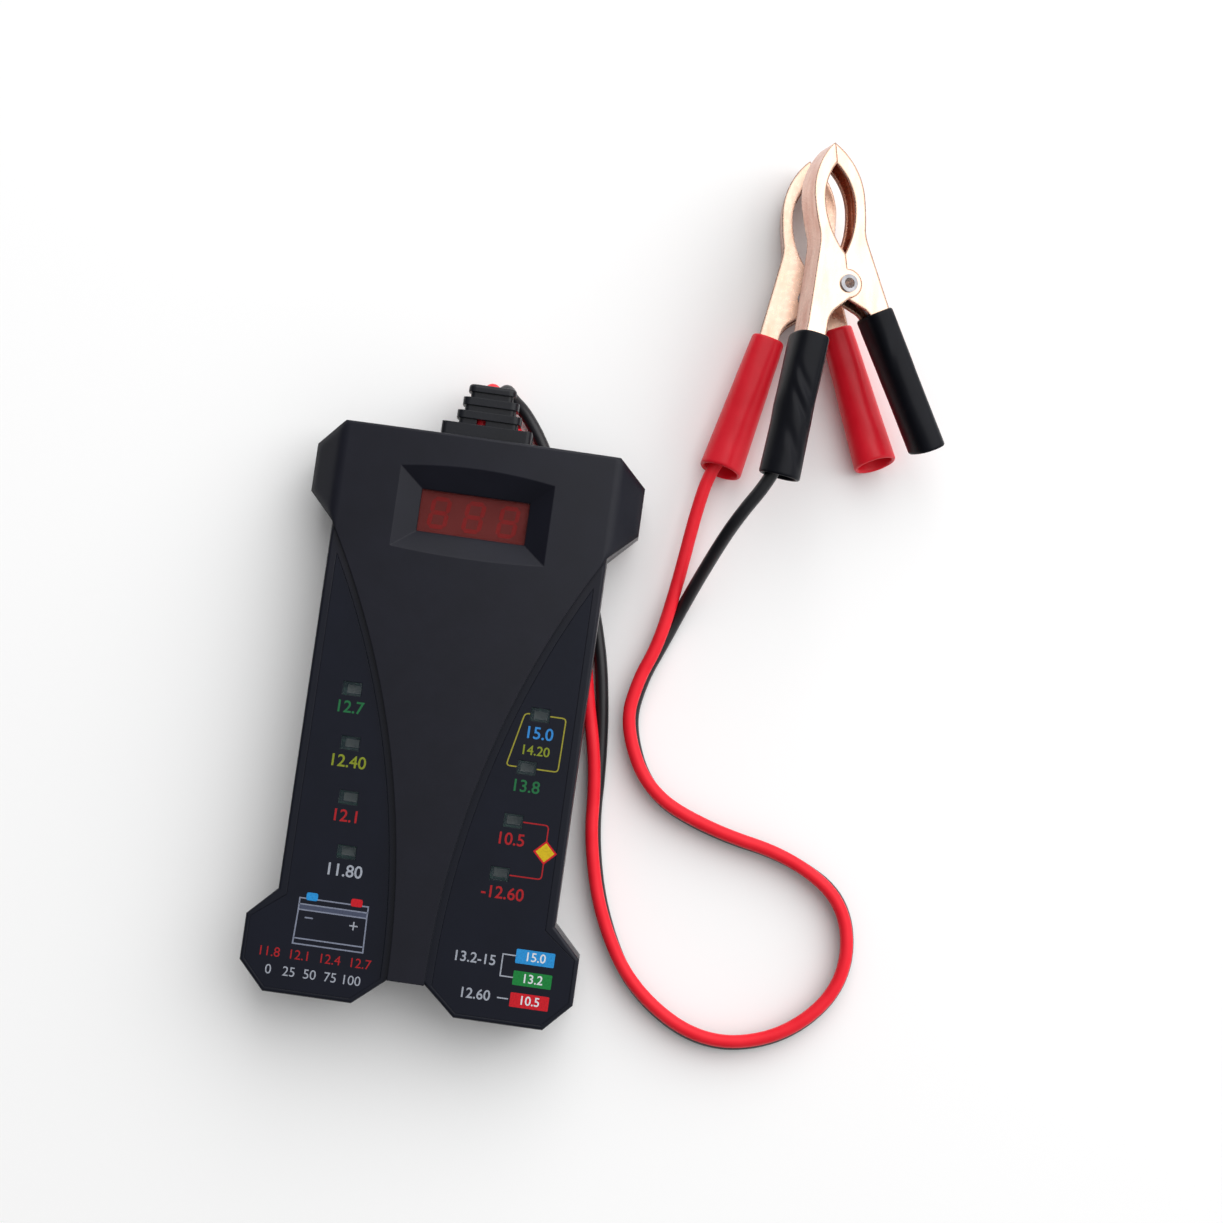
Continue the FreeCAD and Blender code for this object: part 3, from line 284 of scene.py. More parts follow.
def red_window():
    """Dark red acrylic that the display's faces show through."""
    material = new_material("red_window", Roughness=0.15, Specular_IOR_Level=0.12, Alpha=0.34)
    blotted(material, 7 * MM, tone(112, 44, 43), tone(122, 50, 49), detail=1.0)
    return material


def clear_pane():
    material = new_material("clear_pane", Roughness=0.1, Specular_IOR_Level=0.2, Alpha=0.25)
    blotted(material, 1.5 * MM, tone(52, 66, 72), tone(72, 86, 92), detail=1.0)
    return material


def display_face():
    material = new_material("display_face", Roughness=0.5, Specular_IOR_Level=0.1)
    blotted(material, 0.8 * MM, tone(104, 50, 47), tone(112, 55, 52))
    return material


def display_segment():
    material = new_material("display_segment", Roughness=0.5, Specular_IOR_Level=0.1)
    blotted(material, 0.5 * MM, tone(172, 14, 20), tone(184, 20, 26))
    return material


def solder_mask():
    """Green board with paler tracks just under the mask."""
    material = new_material("solder_mask", Roughness=0.35, Coat_Weight=0.3)
    tracks = node(material, "ShaderNodeTexBrick", {
        "Vector": place(material), "Scale": 1 / (9 * MM), "Mortar Size": 0.035,
        "Color1": tone(18, 74, 48), "Color2": tone(22, 84, 54), "Mortar": tone(58, 132, 92),
    })
    join(material, tracks.outputs["Color"], "Base Color")
    relief(material, tracks.outputs["Fac"], depth=0.04 * MM, strength=0.5)
    return material


def ink(name, colour):
    """Screen-printed ink: slightly thin in places."""
    material = new_material(f"ink_{name}", Roughness=0.5, Specular_IOR_Level=0.15)
    thin = tuple(level * 0.75 for level in colour[:3]) + (1.0,)
    blotted(material, 0.35 * MM, thin, colour, detail=4.0, end=0.6)
    return material


CASE = case_plastic()
RELIEF = moulded_plastic("relief_plastic", tone(16, 18, 24), tone(20, 22, 29), rough=0.32, grain=0.5 * MM,
                         depth=0.012 * MM, shine=0.3, edge=0.25 * MM)
FILM = moulded_plastic("panel_film", *FILM_TONES, rough=0.32, grain=0.2 * MM, depth=0.004 * MM, shine=0.2,
                       edge=0.15 * MM)
DARK_PART = moulded_plastic("component_plastic", tone(20, 20, 22), tone(30, 30, 33), rough=0.55,
                            grain=0.3 * MM, depth=0.01 * MM)
WHITE_PART = moulded_plastic("light_body", tone(205, 206, 200), tone(232, 232, 226), rough=0.4,
                             grain=0.3 * MM, depth=0.01 * MM)
COPPER = copper_plate()
STEEL = plated_steel("bright_steel", dull=0.36, clean=0.52)
# The rivet's bore gets painted light, a bright grey in its hollow.
RIVET_STEEL = plated_steel("rivet_steel", dull=0.18, clean=0.30, bore=0.95)
WINDOW = red_window()
PANE = clear_pane()
DISPLAY = display_face()
SEGMENT = display_segment()
BOARD = solder_mask()
VINYL = {
    "red": soft_vinyl("red_vinyl", tone(222, 22, 40), tone(232, 32, 50), rough=0.36, shine=0.28),
    "black": soft_vinyl("black_vinyl", tone(14, 15, 20), tone(18, 19, 25), rough=0.34, shine=0.1),
}
LEAD_VINYL = {
    "red": soft_vinyl("red_lead_vinyl", tone(232, 30, 46), tone(240, 40, 54), rough=0.4, shine=0.16),
    "black": soft_vinyl("black_lead_vinyl", tone(26, 26, 29), tone(34, 34, 38), rough=0.34, shine=0.35),
}
INK_TONES = {
    "green": tone(34, 104, 62), "lime": tone(128, 138, 40), "red": tone(164, 30, 36),
    "grey": tone(158, 163, 174), "blue": tone(50, 130, 200), "yellow": tone(150, 144, 50),
    "line": tone(126, 132, 150), "band": tone(70, 76, 96), "bright_blue": tone(40, 140, 206),
    "bright_green": tone(26, 124, 58), "bright_red": tone(196, 26, 38), "sign_yellow": tone(206, 176, 30),
    "white": tone(214, 218, 224),
}
INKS = {name: ink(name, colour) for name, colour in INK_TONES.items()}

# The finish of each CAD node that is shown as packed.
FINISHES = {
    "front_cover": CASE, "back_cover": CASE, "right_film": FILM, "left_film": FILM, "light_windows": PANE,
    "indicator_lights": WHITE_PART, "display_window": WINDOW, "display_module": DISPLAY,
    "circuit_board": BOARD, "controller_chip": DARK_PART, "voltage_regulator": DARK_PART,
    "protection_diode": DARK_PART, "capacitor": STEEL, "resistors": DARK_PART, "case_screws": STEEL,
    "board_screws": STEEL, "strain_relief": RELIEF,
}
for colour in ("red", "black"):
    FINISHES[f"{colour}_wire_jaw"] = COPPER
    FINISHES[f"{colour}_free_jaw"] = COPPER
    FINISHES[f"{colour}_rivet"] = RIVET_STEEL


def finish_cad_nodes():
    for name, material in FINISHES.items():
        mesh = nodes[name].data
        mesh.materials.clear()
        mesh.materials.append(material)


# Pieces made here

def add_piece(name, data, material, body="tester"):
    data.materials.append(material)
    piece = bpy.data.objects.new(name, data)
    bpy.context.scene.collection.objects.link(piece)
    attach(piece, body)
    return piece


def mesh_from(name, vertices, faces, smooth_shade=False):
    mesh = bpy.data.meshes.new(name)
    mesh.from_pydata(vertices, [], faces)
    mesh.validate()
    if smooth_shade:
        mesh.shade_smooth()
    return mesh


# Leads

LEAD_DIAMETER = 2.9 * MM
ROUTES = {
    "red": [
        (-1.55, 57.9, 11.0), (-1.57, 61.7, 11.02), (-1.55, 66.2, 11.0), (-1.5, 69.8, 11.0),
        (-1.45, 72.5, 11.0), (-0.7, 74.9, 9.2), (0.1, 75.1, 6.4), (0.4, 73.2, 4.4), (3.6, 69.8, 2.3),
        (8.6, 63.2, 1.55), (15.8, 49.7, 1.5), (23.2, 33.6, 1.5), (28.3, 19.0, 1.5), (30.5, 8.6, 2.5),
        (33.0, -1.0, 4.5), (34.4, -10.0, 4.55), (35.0, -21.0, 4.55), (39.4, -37.4, 4.55),
        (48.8, -52.6, 4.55), (65.9, -62.3, 4.55), (83.6, -58.2, 4.55), (95.4, -44.8, 4.55),
        (93.6, -27.6, 4.55), (79.9, -18.6, 4.55), (61.6, -15.3, 4.55), (46.2, -8.9, 4.55),
        (39.1, 5.3, 4.55), (40.6, 15.6, 4.55), (44.0, 24.0, 4.6), (46.4, 38.1, 4.6), (48.3, 54.8, 4.9),
        (50.2, 64.3, 5.1), (54.2, 70.6, 5.1), (56.0, 79.35, 5.1),
    ],
    "black": [
        (1.55, 57.9, 11.0), (1.57, 61.7, 11.02), (1.55, 66.2, 11.0), (1.6, 69.8, 11.0),
        (1.55, 72.4, 11.0), (2.45, 75.0, 9.4), (3.25, 75.3, 6.9), (3.95, 74.0, 4.8), (7.4, 71.6, 2.4),
        (12.6, 64.4, 1.55), (19.2, 51.1, 1.5), (26.6, 35.8, 1.5), (31.3, 21.5, 1.5), (33.6, 9.0, 1.5),
        (34.9, -4.4, 1.5), (35.3, -19.6, 1.5), (39.6, -36.9, 1.5), (48.6, -53.0, 1.5), (65.9, -63.1, 1.5),
        (84.2, -58.8, 1.5), (96.0, -44.6, 1.5), (93.7, -26.8, 1.5), (79.6, -18.7, 1.5), (61.9, -15.8, 1.5),
        (46.5, -9.3, 1.5), (39.8, 5.3, 1.5), (41.6, 16.2, 1.5), (44.8, 24.0, 1.5), (47.5, 31.2, 1.9),
        (50.7, 39.2, 8.0), (54.8, 48.5, 17.6), (58.0, 54.4, 22.9), (62.2, 60.9, 25.6),
        (64.84, 68.1, 25.76), (65.82, 74.24, 25.27), (66.3, 80.34, 24.66),
    ],
}


def round_wire(name, points, diameter):
    """A round curve with the given control points."""
    curve = bpy.data.curves.new(name, "CURVE")
    curve.dimensions = "3D"
    curve.resolution_u = 10
    curve.bevel_depth = diameter / 2
    curve.bevel_resolution = 6
    curve.use_fill_caps = True
    spline = curve.splines.new("NURBS")
    spline.points.add(len(points) - 1)
    for control, point in zip(spline.points, points):
        control.co = (*point, 1.0)
    spline.order_u = 3
    spline.use_endpoint_u = True
    return curve


def make_lead(colour):
    points = [Vector(point) * MM for point in ROUTES[colour]]
    curve = round_wire(f"{colour}_lead_curve", points, LEAD_DIAMETER)
    lead = add_piece(f"{colour}_lead_skin", curve, LEAD_VINYL[colour])
    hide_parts(f"{colour}_lead")


# Clip sleeves

CLIP_TURN = {"red": math.radians(5.8), "black": math.radians(12.6)}
CLIP_ROLL = {"red": 0.0, "black": math.radians(18.0)}
HANDLE_ANGLE = math.radians(18.0)
SHOULDER = (10.1 * MM, -8.0 * MM)
HANDLE_DEPTH = 4.5 * MM
SLEEVE_LENGTH = 32.0 * MM
SLEEVE_WALL = 0.9 * MM
MOUTH_SLANT = {"red": math.radians(11.0), "black": math.radians(-7.0)}
RING_POINTS = 48
RINGS = 64
FOLD_NARROWNESS = 8
SLEEVE_SEEDS = {"red_wire": 3.0, "red_free": 8.0, "black_wire": 11.0, "black_free": 16.0}
# Share of the length by which the lips stand out, and the soft waves along the wall.
LIP_REACH = 0.012
WAVE_SIZE = 5 * MM
WAVE_DEPTH = 0.012
WAVE_FADE = 1.2
# How much faster than its length the tube turns from square to round.
ROUNDING = 1.4

# Each sleeve: start along the handle, half widths (across, up) at its root and mouth, and squareness there.
SLEEVE_SIZES = {
    "red_wire": (0.4, (3.75, 5.05), (4.8, 4.8), (2.9, 2.0)),
    "red_free": (-2.4, (3.45, 5.05), (4.8, 4.8), (2.9, 2.0)),
    "black_wire": (2.3, (3.85, 5.3), (4.5, 4.9), (2.9, 2.0)),
    "black_free": (-2.4, (3.4, 5.05), (3.55, 5.0), (2.9, 2.4)),
}
# Folds in the soft wall: place along, angle round, width along, depth, and lean round the tube.
FOLDS = {
    "red_wire": [(0.8, math.radians(100), 0.1, 0.03, 0.1)],
    "red_free": [(0.85, math.radians(80), 0.1, 0.03, -0.1)],
    "black_wire": [
        (0.36, math.radians(88), 0.045, 0.13, 0.2), (0.44, math.radians(92), 0.05, -0.05, 0.2),
        (0.52, math.radians(90), 0.04, 0.13, 0.2), (0.64, math.radians(88), 0.09, -0.04, 0.1),
        (0.8, math.radians(94), 0.06, 0.12, 0.2), (0.42, math.radians(180), 0.1, 0.06, 0.0),
        (0.5, math.radians(0), 0.1, -0.06, 0.0),
    ],
    "black_free": [(0.2, math.radians(90), 0.07, 0.05, 0.3), (0.6, math.radians(90), 0.25, 0.05, 0.2)],
}


def clip_place(colour):
    joint = next(item for item in frame["joints"] if item["name"] == f"{colour}_clip_hinge")
    turn = Matrix.Rotation(CLIP_TURN[colour], 4, "Z")
    roll = Matrix.Rotation(CLIP_ROLL[colour], 4, "Y")
    return Matrix.Translation(joint["pos_m"]) @ turn @ roll


def smooth(share):
    share = min(1.0, max(0.0, share))
    return share * share * (3 - 2 * share)


def oval(angle, half, power):
    """A point of an oval that is squarer for a higher power."""
    x = math.copysign(abs(math.cos(angle)) ** (2 / power), math.cos(angle))
    y = math.copysign(abs(math.sin(angle)) ** (2 / power), math.sin(angle))
    return x * half[0], y * half[1]


def sleeve_section(kind, along, angle, inset, slant):
    """One point of the sleeve's skin: along 0 at its root to 1 at its mouth."""
    _, root, mouth, squareness = SLEEVE_SIZES[kind]
    half = [(first + (last - first) * along) * MM - inset for first, last in zip(root, mouth)]
    power = squareness[0] + (squareness[1] - squareness[0]) * smooth(along * ROUNDING)
    across, up = oval(angle, half, power)
    cut = (up + math.copysign(mouth[1] * MM, slant)) * math.tan(slant)
    down = along * (SLEEVE_LENGTH - cut)
    wave = noise.noise(Vector((across, up, down)) / WAVE_SIZE + Vector((SLEEVE_SEEDS[kind], 0, 0)))
    swell = 1 + WAVE_DEPTH * wave * math.sin(math.pi * min(1, along * WAVE_FADE))
    for fold_along, fold_angle, width, depth, lean in FOLDS[kind]:
        facing = math.cos(angle - fold_angle)
        if facing > 0:
            reach = (along - fold_along - lean * math.sin(angle - fold_angle)) / width
            swell -= depth * facing ** FOLD_NARROWNESS * math.exp(-reach * reach)
    return Vector((across * swell, up * swell, down))


def sleeve_skins():
    """The rings of skin, mouth lip, bore and root lip: how far inside the skin, and how far along."""
    shares = [ring / (RINGS - 1) for ring in range(RINGS)]
    skin = [(0, share) for share in shares]
    bore = [(SLEEVE_WALL, 1 - share) for share in shares]
    lip = SLEEVE_WALL / 2
    return [*skin, (lip, 1 + LIP_REACH), *bore, (lip, -LIP_REACH)]


def closed_tube(rings, turned):
    """Faces between rings of points, where the last ring meets the first."""
    faces = []
    for ring in range(rings):
        after = (ring + 1) % rings
        for step in range(RING_POINTS):
            following = (step + 1) % RING_POINTS
            corners = [ring * RING_POINTS + step, ring * RING_POINTS + following,
                       after * RING_POINTS + following, after * RING_POINTS + step]
            faces.append(corners[::-1] if turned else corners)
    return faces


def make_sleeve(colour, part, side, body):
    """A soft tube pushed over one handle: skin, lips and bore as one closed surface."""
    kind = f"{colour}_{part}"
    down = Vector((side * math.sin(HANDLE_ANGLE), -math.cos(HANDLE_ANGLE), 0))
    out = Vector((side * math.cos(HANDLE_ANGLE), math.sin(HANDLE_ANGLE), 0))
    up = Vector((0, 0, 1))
    shoulder = Vector((side * SHOULDER[0], SHOULDER[1], 0))
    root = shoulder + down * SLEEVE_SIZES[kind][0] * MM - out * HANDLE_DEPTH / 2
    world = clip_place(colour)
    skins = sleeve_skins()
    vertices = []
    for inset, along in skins:
        for step in range(RING_POINTS):
            angle = 2 * math.pi * step / RING_POINTS
            across, rise, drop = sleeve_section(kind, along, angle, inset, MOUTH_SLANT[colour])
            vertices.append(world @ (root + out * across + up * rise + down * drop))
    name = f"{kind}_sleeve"
    mesh = mesh_from(name, vertices, closed_tube(len(skins), turned=side < 0), smooth_shade=True)
    sleeve = add_piece(f"{name}_skin", mesh, VINYL[colour], body)
    sleeve.modifiers.new("soften", "SUBSURF").render_levels = 1
    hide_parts(name)
    return sleeve


# Clip springs

SPRING_WIRE = 0.9 * MM
LEG_WIRE = 0.88 * MM
COIL_RADIUS = 2.25 * MM
COIL_PITCH = 0.97 * MM
LEG_ANGLE = math.radians(32.5)
LEG_LENGTH = 14.7 * MM
LEG_WRAP = math.radians(40.0)
LEG_SHARES = (0.02, 0.5, 1.0)
COIL_TURNS = 3
COIL_SWEEP = COIL_TURNS * 2 * math.pi + math.pi - 2 * LEG_ANGLE
COIL_STEP = math.radians(10.0)


def coil_spot(sweep):
    """A place on the coil, in the clip's own frame, some way round from the free leg."""
    angle = LEG_ANGLE + sweep
    rise = COIL_PITCH * (sweep - COIL_SWEEP / 2) / (2 * math.pi)
    return Vector((COIL_RADIUS * math.cos(angle), COIL_RADIUS * math.sin(angle), rise))


def coil_run(sweep):
    steps = round(sweep / COIL_STEP)
    return [coil_spot(sweep * step / steps) for step in range(steps + 1)]


def leg_run(root, side):
    """A straight leg that leaves the coil along its tangent."""
    way = Vector((side * math.sin(LEG_ANGLE), -math.cos(LEG_ANGLE), 0))
    return [root + way * LEG_LENGTH * share for share in LEG_SHARES]


def make_spring(colour):
    """The coil and its fixed leg stay with the wire jaw; the other leg follows the lever round the rivet."""
    world = clip_place(colour)
    coil = coil_run(COIL_SWEEP)
    runs = (
        ("spring_coil", coil + leg_run(coil[-1], -1), SPRING_WIRE, "tester"),
        ("spring_leg", coil_run(LEG_WRAP)[::-1] + leg_run(coil[0], 1), LEG_WIRE, f"{colour}_lever"),
    )
    pieces = []
    for part, run, wire, body in runs:
        name = f"{colour}_{part}"
        curve = round_wire(f"{name}_curve", [world @ spot for spot in run], wire)
        pieces.append(add_piece(name, curve, STEEL, body))
    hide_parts(f"{colour}_spring")
    return pieces


def make_clips():
    """The soft sleeves and the spring of each clip, by colour."""
    pieces = {}
    for colour in ("red", "black"):
        pieces[colour] = [
            make_sleeve(colour, "wire", -1, "tester"),
            make_sleeve(colour, "free", 1, f"{colour}_lever"),
            *make_spring(colour),
        ]
    return pieces


# Display digits

DIGIT_HEIGHT = 7.1 * MM
DIGIT_WIDTH = 4.4 * MM
DIGIT_PITCH = 7.6 * MM
DIGIT_SLANT = math.tan(math.radians(6.0))
SEGMENT_WIDTH = 0.95 * MM
SEGMENT_GAP = 0.06 * MM
DIGIT_RISE = 0.03 * MM


def segment_outline(start, end):
    """A bar with pointed ends between two places in the plane."""
    way = (end - start).normalized()
    side = Vector((-way.y, way.x)) * SEGMENT_WIDTH / 2
    first = start + way * SEGMENT_GAP
    last = end - way * SEGMENT_GAP
    shoulder = way * SEGMENT_WIDTH / 2
    return [first, first + shoulder - side, last - shoulder - side, last, last - shoulder + side,
            first + shoulder + side]


def make_display():
    low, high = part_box("display_module")
    middle = (low + high) / 2
    half_w = (DIGIT_WIDTH - SEGMENT_WIDTH) / 2
    half_h = (DIGIT_HEIGHT - SEGMENT_WIDTH) / 2
    left_top, right_top = Vector((-half_w, half_h)), Vector((half_w, half_h))
    left_mid, right_mid = Vector((-half_w, 0)), Vector((half_w, 0))
    left_low, right_low = Vector((-half_w, -half_h)), Vector((half_w, -half_h))
    bars = [
        (left_top, right_top), (left_mid, right_mid), (left_low, right_low), (left_top, left_mid),
        (left_mid, left_low), (right_top, right_mid), (right_mid, right_low),
    ]
    outlines = [segment_outline(start, end) for start, end in bars]
    vertices = []
    faces = []
    for digit in (-1, 0, 1):
        for outline in outlines:
            faces.append(range(len(vertices), len(vertices) + len(outline)))
            for spot in outline:
                x = middle.x + digit * DIGIT_PITCH + spot.x + spot.y * DIGIT_SLANT
                vertices.append((x, middle.y + spot.y, high.z + DIGIT_RISE))
    add_piece("display_digits", mesh_from("display_digits", vertices, faces), SEGMENT)


# Printed marks on the panel films

FILM_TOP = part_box("right_film")[1].z
INK_RISE = 0.015 * MM
WAIST = 30.2
LIGHT_INSET = 9.6
LIGHT_LEAN = 1.3
LIGHT_TOP = 4.6
LIGHT_PITCH = 11.7
LABEL_DROP = 4.1
PAIR_DROP = 7.9
LABEL_SIZE = 3.7
ROW_SIZE = 2.9
SMALL_SIZE = 2.7
KEY_TEXT_SIZE = 3.1
LINE = 0.28
BATTERY_LINE = 0.3
BEND_RADIUS = 0.9
CORNER_STEPS = 4
BEND_STEPS = 6
# Rows of figures under the battery: the first one's place across, their pitch, and the row's height.
VOLTS_ROW = (-30.2, 6.6, -53.9)
SHARE_ROW = (-29.8, 4.5, -57.7)
# Half a light window and the gap that a printed line leaves beside it.
LIGHT_CLEAR = 2.2


def light_spot(side, number):
    """Middle of a light window, in millimetres."""
    return Vector((side * (WAIST - LIGHT_INSET - LIGHT_LEAN * number), LIGHT_TOP - LIGHT_PITCH * number))


def print_number(name, text, spot, size, colour, weight=0.012):
    """Plain figures, centred on a place given in millimetres."""
    data = bpy.data.curves.new(name, "FONT")
    data.body = text
    data.size = size * MM
    data.align_x = "CENTER"
    data.align_y = "CENTER"
    data.offset = weight * size * MM
    piece = add_piece(name, data, INKS[colour])
    piece.location = (spot[0] * MM, spot[1] * MM, FILM_TOP + 2 * INK_RISE)


def print_shape(name, outlines, colour, rise=1):
    spots = {}
    faces = []
    for outline in outlines:
        faces.append([spots.setdefault((x, y), len(spots)) for x, y in outline])
    vertices = [(x * MM, y * MM, FILM_TOP + rise * INK_RISE) for x, y in spots]
    add_piece(name, mesh_from(name, vertices, faces), INKS[colour])


def strokes(points, width, closed=False):
    """A printed line through some points, as quads that share their edges."""
    spots = [Vector(point) for point in points]
    edges = []
    for index, spot in enumerate(spots):
        before = spots[index - 1] if index or closed else 2 * spot - spots[1]
        has_next = closed or index + 1 < len(spots)
        after = spots[(index + 1) % len(spots)] if has_next else 2 * spot - before
        way_in, way_out = (spot - before).normalized(), (after - spot).normalized()
        way = (way_in + way_out).normalized()
        side = Vector((-way.y, way.x)) * width / 2 / way.dot(way_out)
        edges.append((tuple(spot - side), tuple(spot + side)))
    ends = edges[1:] + edges[:1] if closed else edges[1:]
    return [[right, end_right, end_left, left] for (right, left), (end_right, end_left) in zip(edges, ends)]


def rounded(corners, radius):
    """A closed outline with its corners rounded by short arcs."""
    outline = []
    for index, corner in enumerate(corners):
        here = Vector(corner)
        before = (Vector(corners[index - 1]) - here).normalized() * radius
        after = (Vector(corners[(index + 1) % len(corners)]) - here).normalized() * radius
        for step in range(CORNER_STEPS + 1):
            share = step / CORNER_STEPS
            outline.append(here + before * (1 - share) ** 2 + after * share ** 2)
    return outline


def bent(corners, radius):
    """An open line with its inner corners rounded."""
    line = [Vector(corners[0])]
    for before, corner, after in zip(corners, corners[1:], corners[2:]):
        here = Vector(corner)
        back = (Vector(before) - here).normalized() * radius
        ahead = (Vector(after) - here).normalized() * radius
        for step in range(BEND_STEPS + 1):
            share = step / BEND_STEPS
            line.append(here + back * (1 - share) ** 2 + ahead * share ** 2)
    return line + [Vector(corners[-1])]


def block(x, y, width, height):
    return [(x - width / 2, y - height / 2), (x + width / 2, y - height / 2),
            (x + width / 2, y + height / 2), (x - width / 2, y + height / 2)]


def print_left_panel():
    labels = (("12.7", "green"), ("12.40", "lime"), ("12.1", "red"), ("11.80", "grey"))
    for number, (text, colour) in enumerate(labels):
        spot = light_spot(-1, number)
        print_number(f"left_mark_{number}", text, (spot.x, spot.y - LABEL_DROP), LABEL_SIZE, colour)
    print_battery()

    # Two rows of figures under the battery, red for volts and grey for share of charge.
    volts = ("11.8", "12.1", "12.4", "12.7")
    shares = ("0", "25", "50", "75", "100")
    rows = (("volts", volts, VOLTS_ROW, "red"), ("share", shares, SHARE_ROW, "grey"))
    for name, texts, (start, pitch, y), colour in rows:
        for n, text in enumerate(texts):
            print_number(f"{name}_{n}", text, (start + pitch * n, y), ROW_SIZE, colour, weight=0.0)


def print_battery():
    """A plain battery outline: lid, box, foot, two posts and their signs."""
    left, right, flare = -25.2, -10.3, 0.2
    top, lid, lid_edge, foot, bottom = -41.5, -44.0, -42.8, -50.2, -51.4
    case = [(left - flare, bottom), (right + flare, bottom), (right, lid), (left, lid)]
    print_shape("battery_box", strokes(case, BATTERY_LINE, closed=True), "line")
    step = [(left - flare / 2, foot), (right + flare / 2, foot)]
    print_shape("battery_foot", strokes(step, BATTERY_LINE), "line")
    band_height, band_y = 1.0, lid + 0.65
    print_shape("battery_lid_band", [block((left + right) / 2, band_y, right - left, band_height)], "band")
    cover = [(left, lid), (left, top), (right, top), (right, lid)]
    print_shape("battery_lid", strokes(cover, BATTERY_LINE), "line", rise=2)
    edge = [(left, lid_edge), (right, lid_edge)]
    print_shape("battery_lid_edge", strokes(edge, BATTERY_LINE), "line", rise=2)

    post_width, post_height, post_y, post_corner = 2.5, 1.7, top + 0.5, 0.5
    for name, x, colour in (("minus_post", -22.6, "bright_blue"), ("plus_post", -12.9, "bright_red")):
        print_shape(name, [rounded(block(x, post_y, post_width, post_height), post_corner)], colour, rise=3)

    minus, plus, arm = Vector((-22.7, -45.6)), Vector((-12.9, -46.0)), 0.9
    across, upright = Vector((arm, 0)), Vector((0, arm))
    print_shape("minus_sign", strokes([minus - across, minus + across], BATTERY_LINE), "line")
    print_shape("plus_sign", strokes([plus - across, plus + across], BATTERY_LINE), "grey")
    print_shape("plus_sign_upright", strokes([plus - upright, plus + upright], BATTERY_LINE), "grey", rise=2)


def print_right_panel():
    first, second, third, fourth = (light_spot(1, number) for number in range(4))
    print_pair_frame(first, second)

    # Each mark: name, figures, light, shift across, drop below the light, size and colour.
    marks = (
        ("right_mark_0", "15.0", first, 0.3, LABEL_DROP, LABEL_SIZE, "blue"),
        ("right_mark_pair", "14.20", first, 0.0, PAIR_DROP, ROW_SIZE, "lime"),
        ("right_mark_1", "13.8", second, 0.3, LABEL_DROP, LABEL_SIZE, "green"),
        ("right_mark_2", "10.5", third, 0.0, LABEL_DROP, LABEL_SIZE, "red"),
        ("right_mark_3", "-12.60", fourth, 1.2, LABEL_DROP, LABEL_SIZE, "red"),
    )
    for name, text, light, shift, drop, size, colour in marks:
        print_number(name, text, (light.x + shift, light.y - drop), size, colour)
    print_bracket(third, fourth)
    print_key()


def print_pair_frame(upper, lower):
    """A slanted frame round the first two lights, open at each of them."""
    sides = (
        ("pair_frame_left", -LIGHT_CLEAR, 17.3, 14.8),
        ("pair_frame_right", LIGHT_CLEAR, 26.3, 26.1),
    )
    for name, reach, upper_x, lower_x in sides:
        corners = [(upper.x + reach, upper.y), (upper_x, upper.y), (lower_x, lower.y),
                   (lower.x + reach, lower.y)]
        print_shape(name, strokes(bent(corners, BEND_RADIUS), LINE), "yellow")


def print_bracket(upper, lower):
    """A bracket that joins the last two lights through a plain diamond."""
    x, y, gap = 25.8, (upper.y + lower.y) / 2, 2.1
    above = [(upper.x + LIGHT_CLEAR, upper.y), (x, upper.y), (x, y + gap)]
    below = [(x, y - gap), (x, lower.y), (lower.x + LIGHT_CLEAR, lower.y)]
    for name, corners in (("bracket_upper", above), ("bracket_lower", below)):
        print_shape(name, strokes(bent(corners, BEND_RADIUS), LINE), "red")
    diamonds = (("diamond_edge", 2.6, "bright_red", 2), ("diamond", 2.05, "sign_yellow", 3))
    for name, size, colour, rise in diamonds:
        print_shape(name, [[(x - size, y), (x, y - size), (x + size, y), (x, y + size)]], colour, rise)


def print_key():
    """The key at the foot: figures and coloured boxes, joined by thin lines."""
    box_x, box_width, box_height, box_corner = 26.9, 8.4, 3.1, 0.25
    top, middle, bottom = -47.4, -52.1, -56.8
    rows = ((top, "15.0", "bright_blue"), (middle, "13.2", "bright_green"), (bottom, "10.5", "bright_red"))
    for y, text, colour in rows:
        outline = rounded(block(box_x, y, box_width, box_height), box_corner)
        print_shape(f"key_{colour}", [outline], colour)
        print_number(f"key_{colour}_mark", text, (box_x, y), SMALL_SIZE, "white")
    edge, stem, dash_gap = box_x - box_width / 2, 19.9, 0.4
    fork = [(edge, top), (stem, top), (stem, middle), (edge, middle)]
    print_shape("key_bracket", strokes(fork, LINE), "grey")
    print_shape("key_dash", strokes([(stem, bottom), (edge - dash_gap, bottom)], LINE), "grey")
    pair_spot = (13.9, (top + middle) / 2 + 0.6)
    single_spot = (15.0, bottom)
    print_number("key_pair", "13.2-15", pair_spot, KEY_TEXT_SIZE, "grey")
    print_number("key_single", "12.60", single_spot, KEY_TEXT_SIZE, "grey")


# Stage, lights and camera

FLOOR_HALF = 3.0
FLOOR_DROP = 0.02 * MM
WORLD_LIGHT_WAY = Vector((0.6, 0.5, 0.35)).normalized()
WORLD_DARK = 0.05
WORLD_LIGHT = 1.0
WORLD_SHADE = -0.6
KEY_SPOT = Vector((0.42, 0.68, 0.72))
KEY_SIZE = 1.8
KEY_POWER = 14.0


def make_stage():
    corners = [(x, y, 0) for x, y in block(0, 0, 2 * FLOOR_HALF, 2 * FLOOR_HALF)]
    floor = bpy.data.objects.new("floor", mesh_from("floor", corners, [range(len(corners))]))
    material = new_material("pale_floor", Roughness=0.9, Specular_IOR_Level=0.1)
    blotted(material, 0.4, grey(0.96), grey(0.98))
    floor.data.materials.append(material)
    bpy.context.scene.collection.objects.link(floor)
    floor.location.z = -FLOOR_DROP


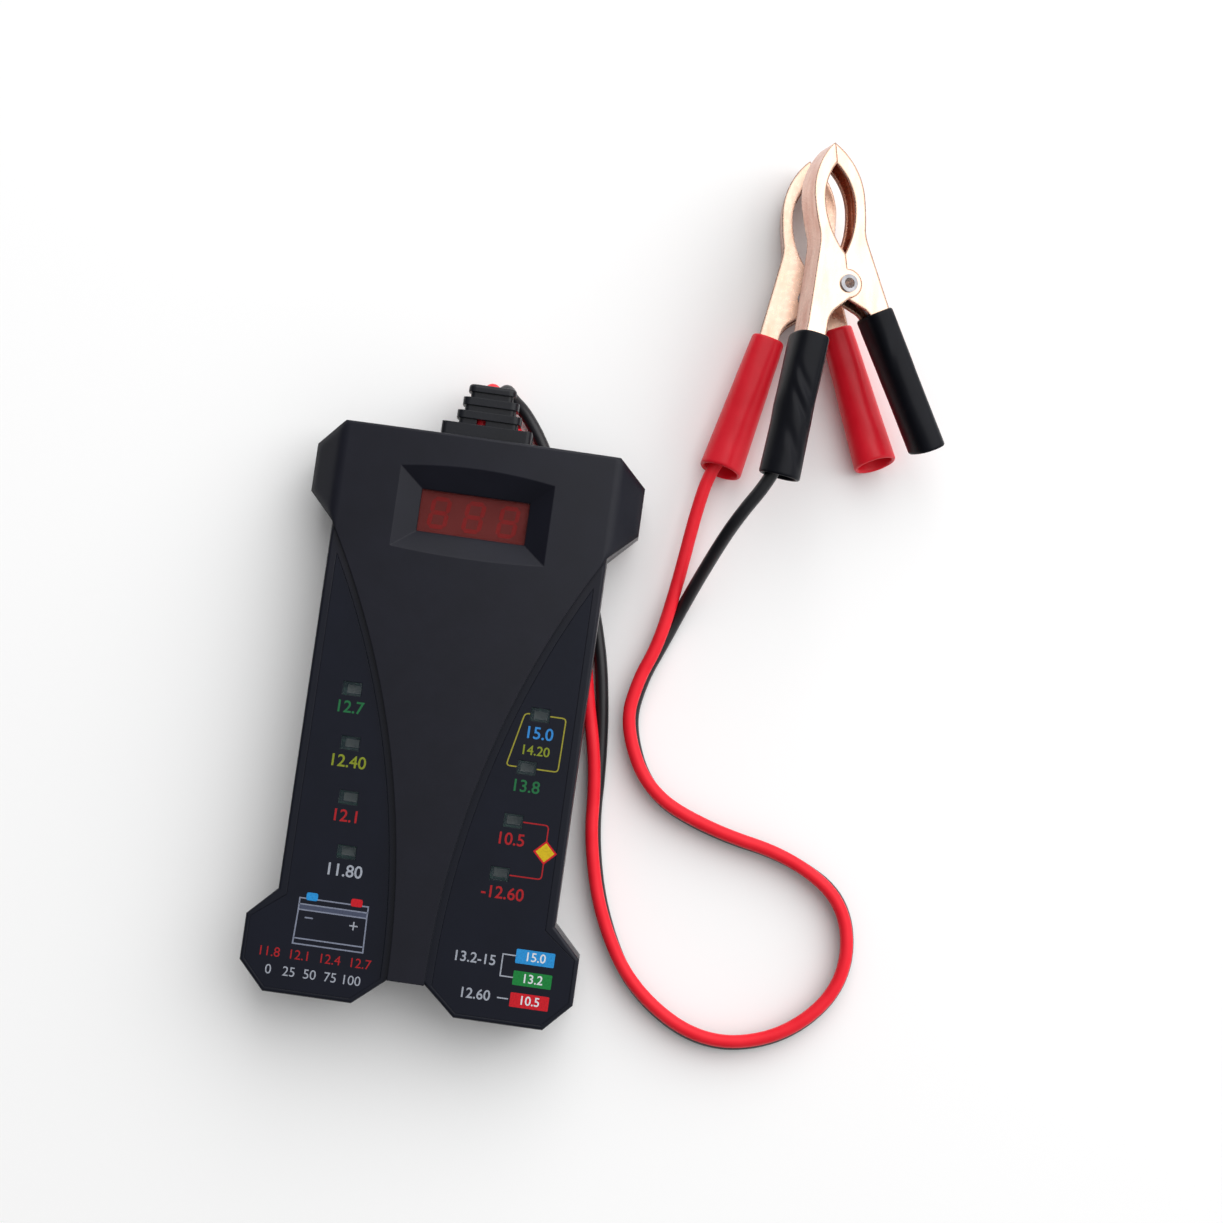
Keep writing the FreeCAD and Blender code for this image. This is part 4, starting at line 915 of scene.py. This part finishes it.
def make_world():
    """A soft room, lighter towards the north and east of the table."""
    world = bpy.data.worlds.new("studio")
    world.use_nodes = True
    tree = world.node_tree
    way = tree.nodes.new("ShaderNodeTexCoord").outputs["Generated"]
    turned = tree.nodes.new("ShaderNodeVectorMath")
    turned.operation = "DOT_PRODUCT"
    turned.inputs[1].default_value = WORLD_LIGHT_WAY
    level = tree.nodes.new("ShaderNodeMapRange")
    level.inputs["From Min"].default_value = WORLD_SHADE
    level.inputs["To Min"].default_value = WORLD_DARK
    level.inputs["To Max"].default_value = WORLD_LIGHT
    tree.links.new(way, turned.inputs[0])
    tree.links.new(turned.outputs["Value"], level.inputs["Value"])
    tree.links.new(level.outputs["Result"], tree.nodes["Background"].inputs["Strength"])
    tree.nodes["Background"].inputs["Color"].default_value = (1, 1, 1, 1)
    bpy.context.scene.world = world


def make_light(name, spot, target, size, power):
    data = bpy.data.lights.new(name, "AREA")
    data.shape = "DISK"
    data.size = size
    data.energy = power
    lamp = bpy.data.objects.new(name, data)
    lamp.location = spot
    lamp.rotation_euler = (Vector(target) - Vector(spot)).to_track_quat("-Z", "Y").to_euler()
    bpy.context.scene.collection.objects.link(lamp)


CAMERA_TARGET = Vector((32.764, 29.042, 20.0)) * MM
CAMERA_TURN = Euler((math.radians(3.25), 0, math.radians(7.99)))
CAMERA_DISTANCE = 0.56
FOCAL_PIXELS = 2578.8


def make_camera():
    data = bpy.data.cameras.new("camera")
    data.lens = FOCAL_PIXELS / IMAGE_SIDE * data.sensor_width
    camera = bpy.data.objects.new("camera", data)
    camera.location = CAMERA_TARGET + CAMERA_TURN.to_matrix() @ Vector((0, 0, CAMERA_DISTANCE))
    camera.rotation_euler = CAMERA_TURN
    bpy.context.scene.collection.objects.link(camera)
    bpy.context.scene.camera = camera
    bpy.context.scene.view_settings.view_transform = "Standard"


finish_cad_nodes()
for lead_colour, clip_pieces in make_clips().items():
    make_lead(lead_colour)
make_display()
print_left_panel()
print_right_panel()
make_stage()
make_world()
make_light("key", CAMERA_TARGET + KEY_SPOT, CAMERA_TARGET, KEY_SIZE, KEY_POWER)
make_camera()
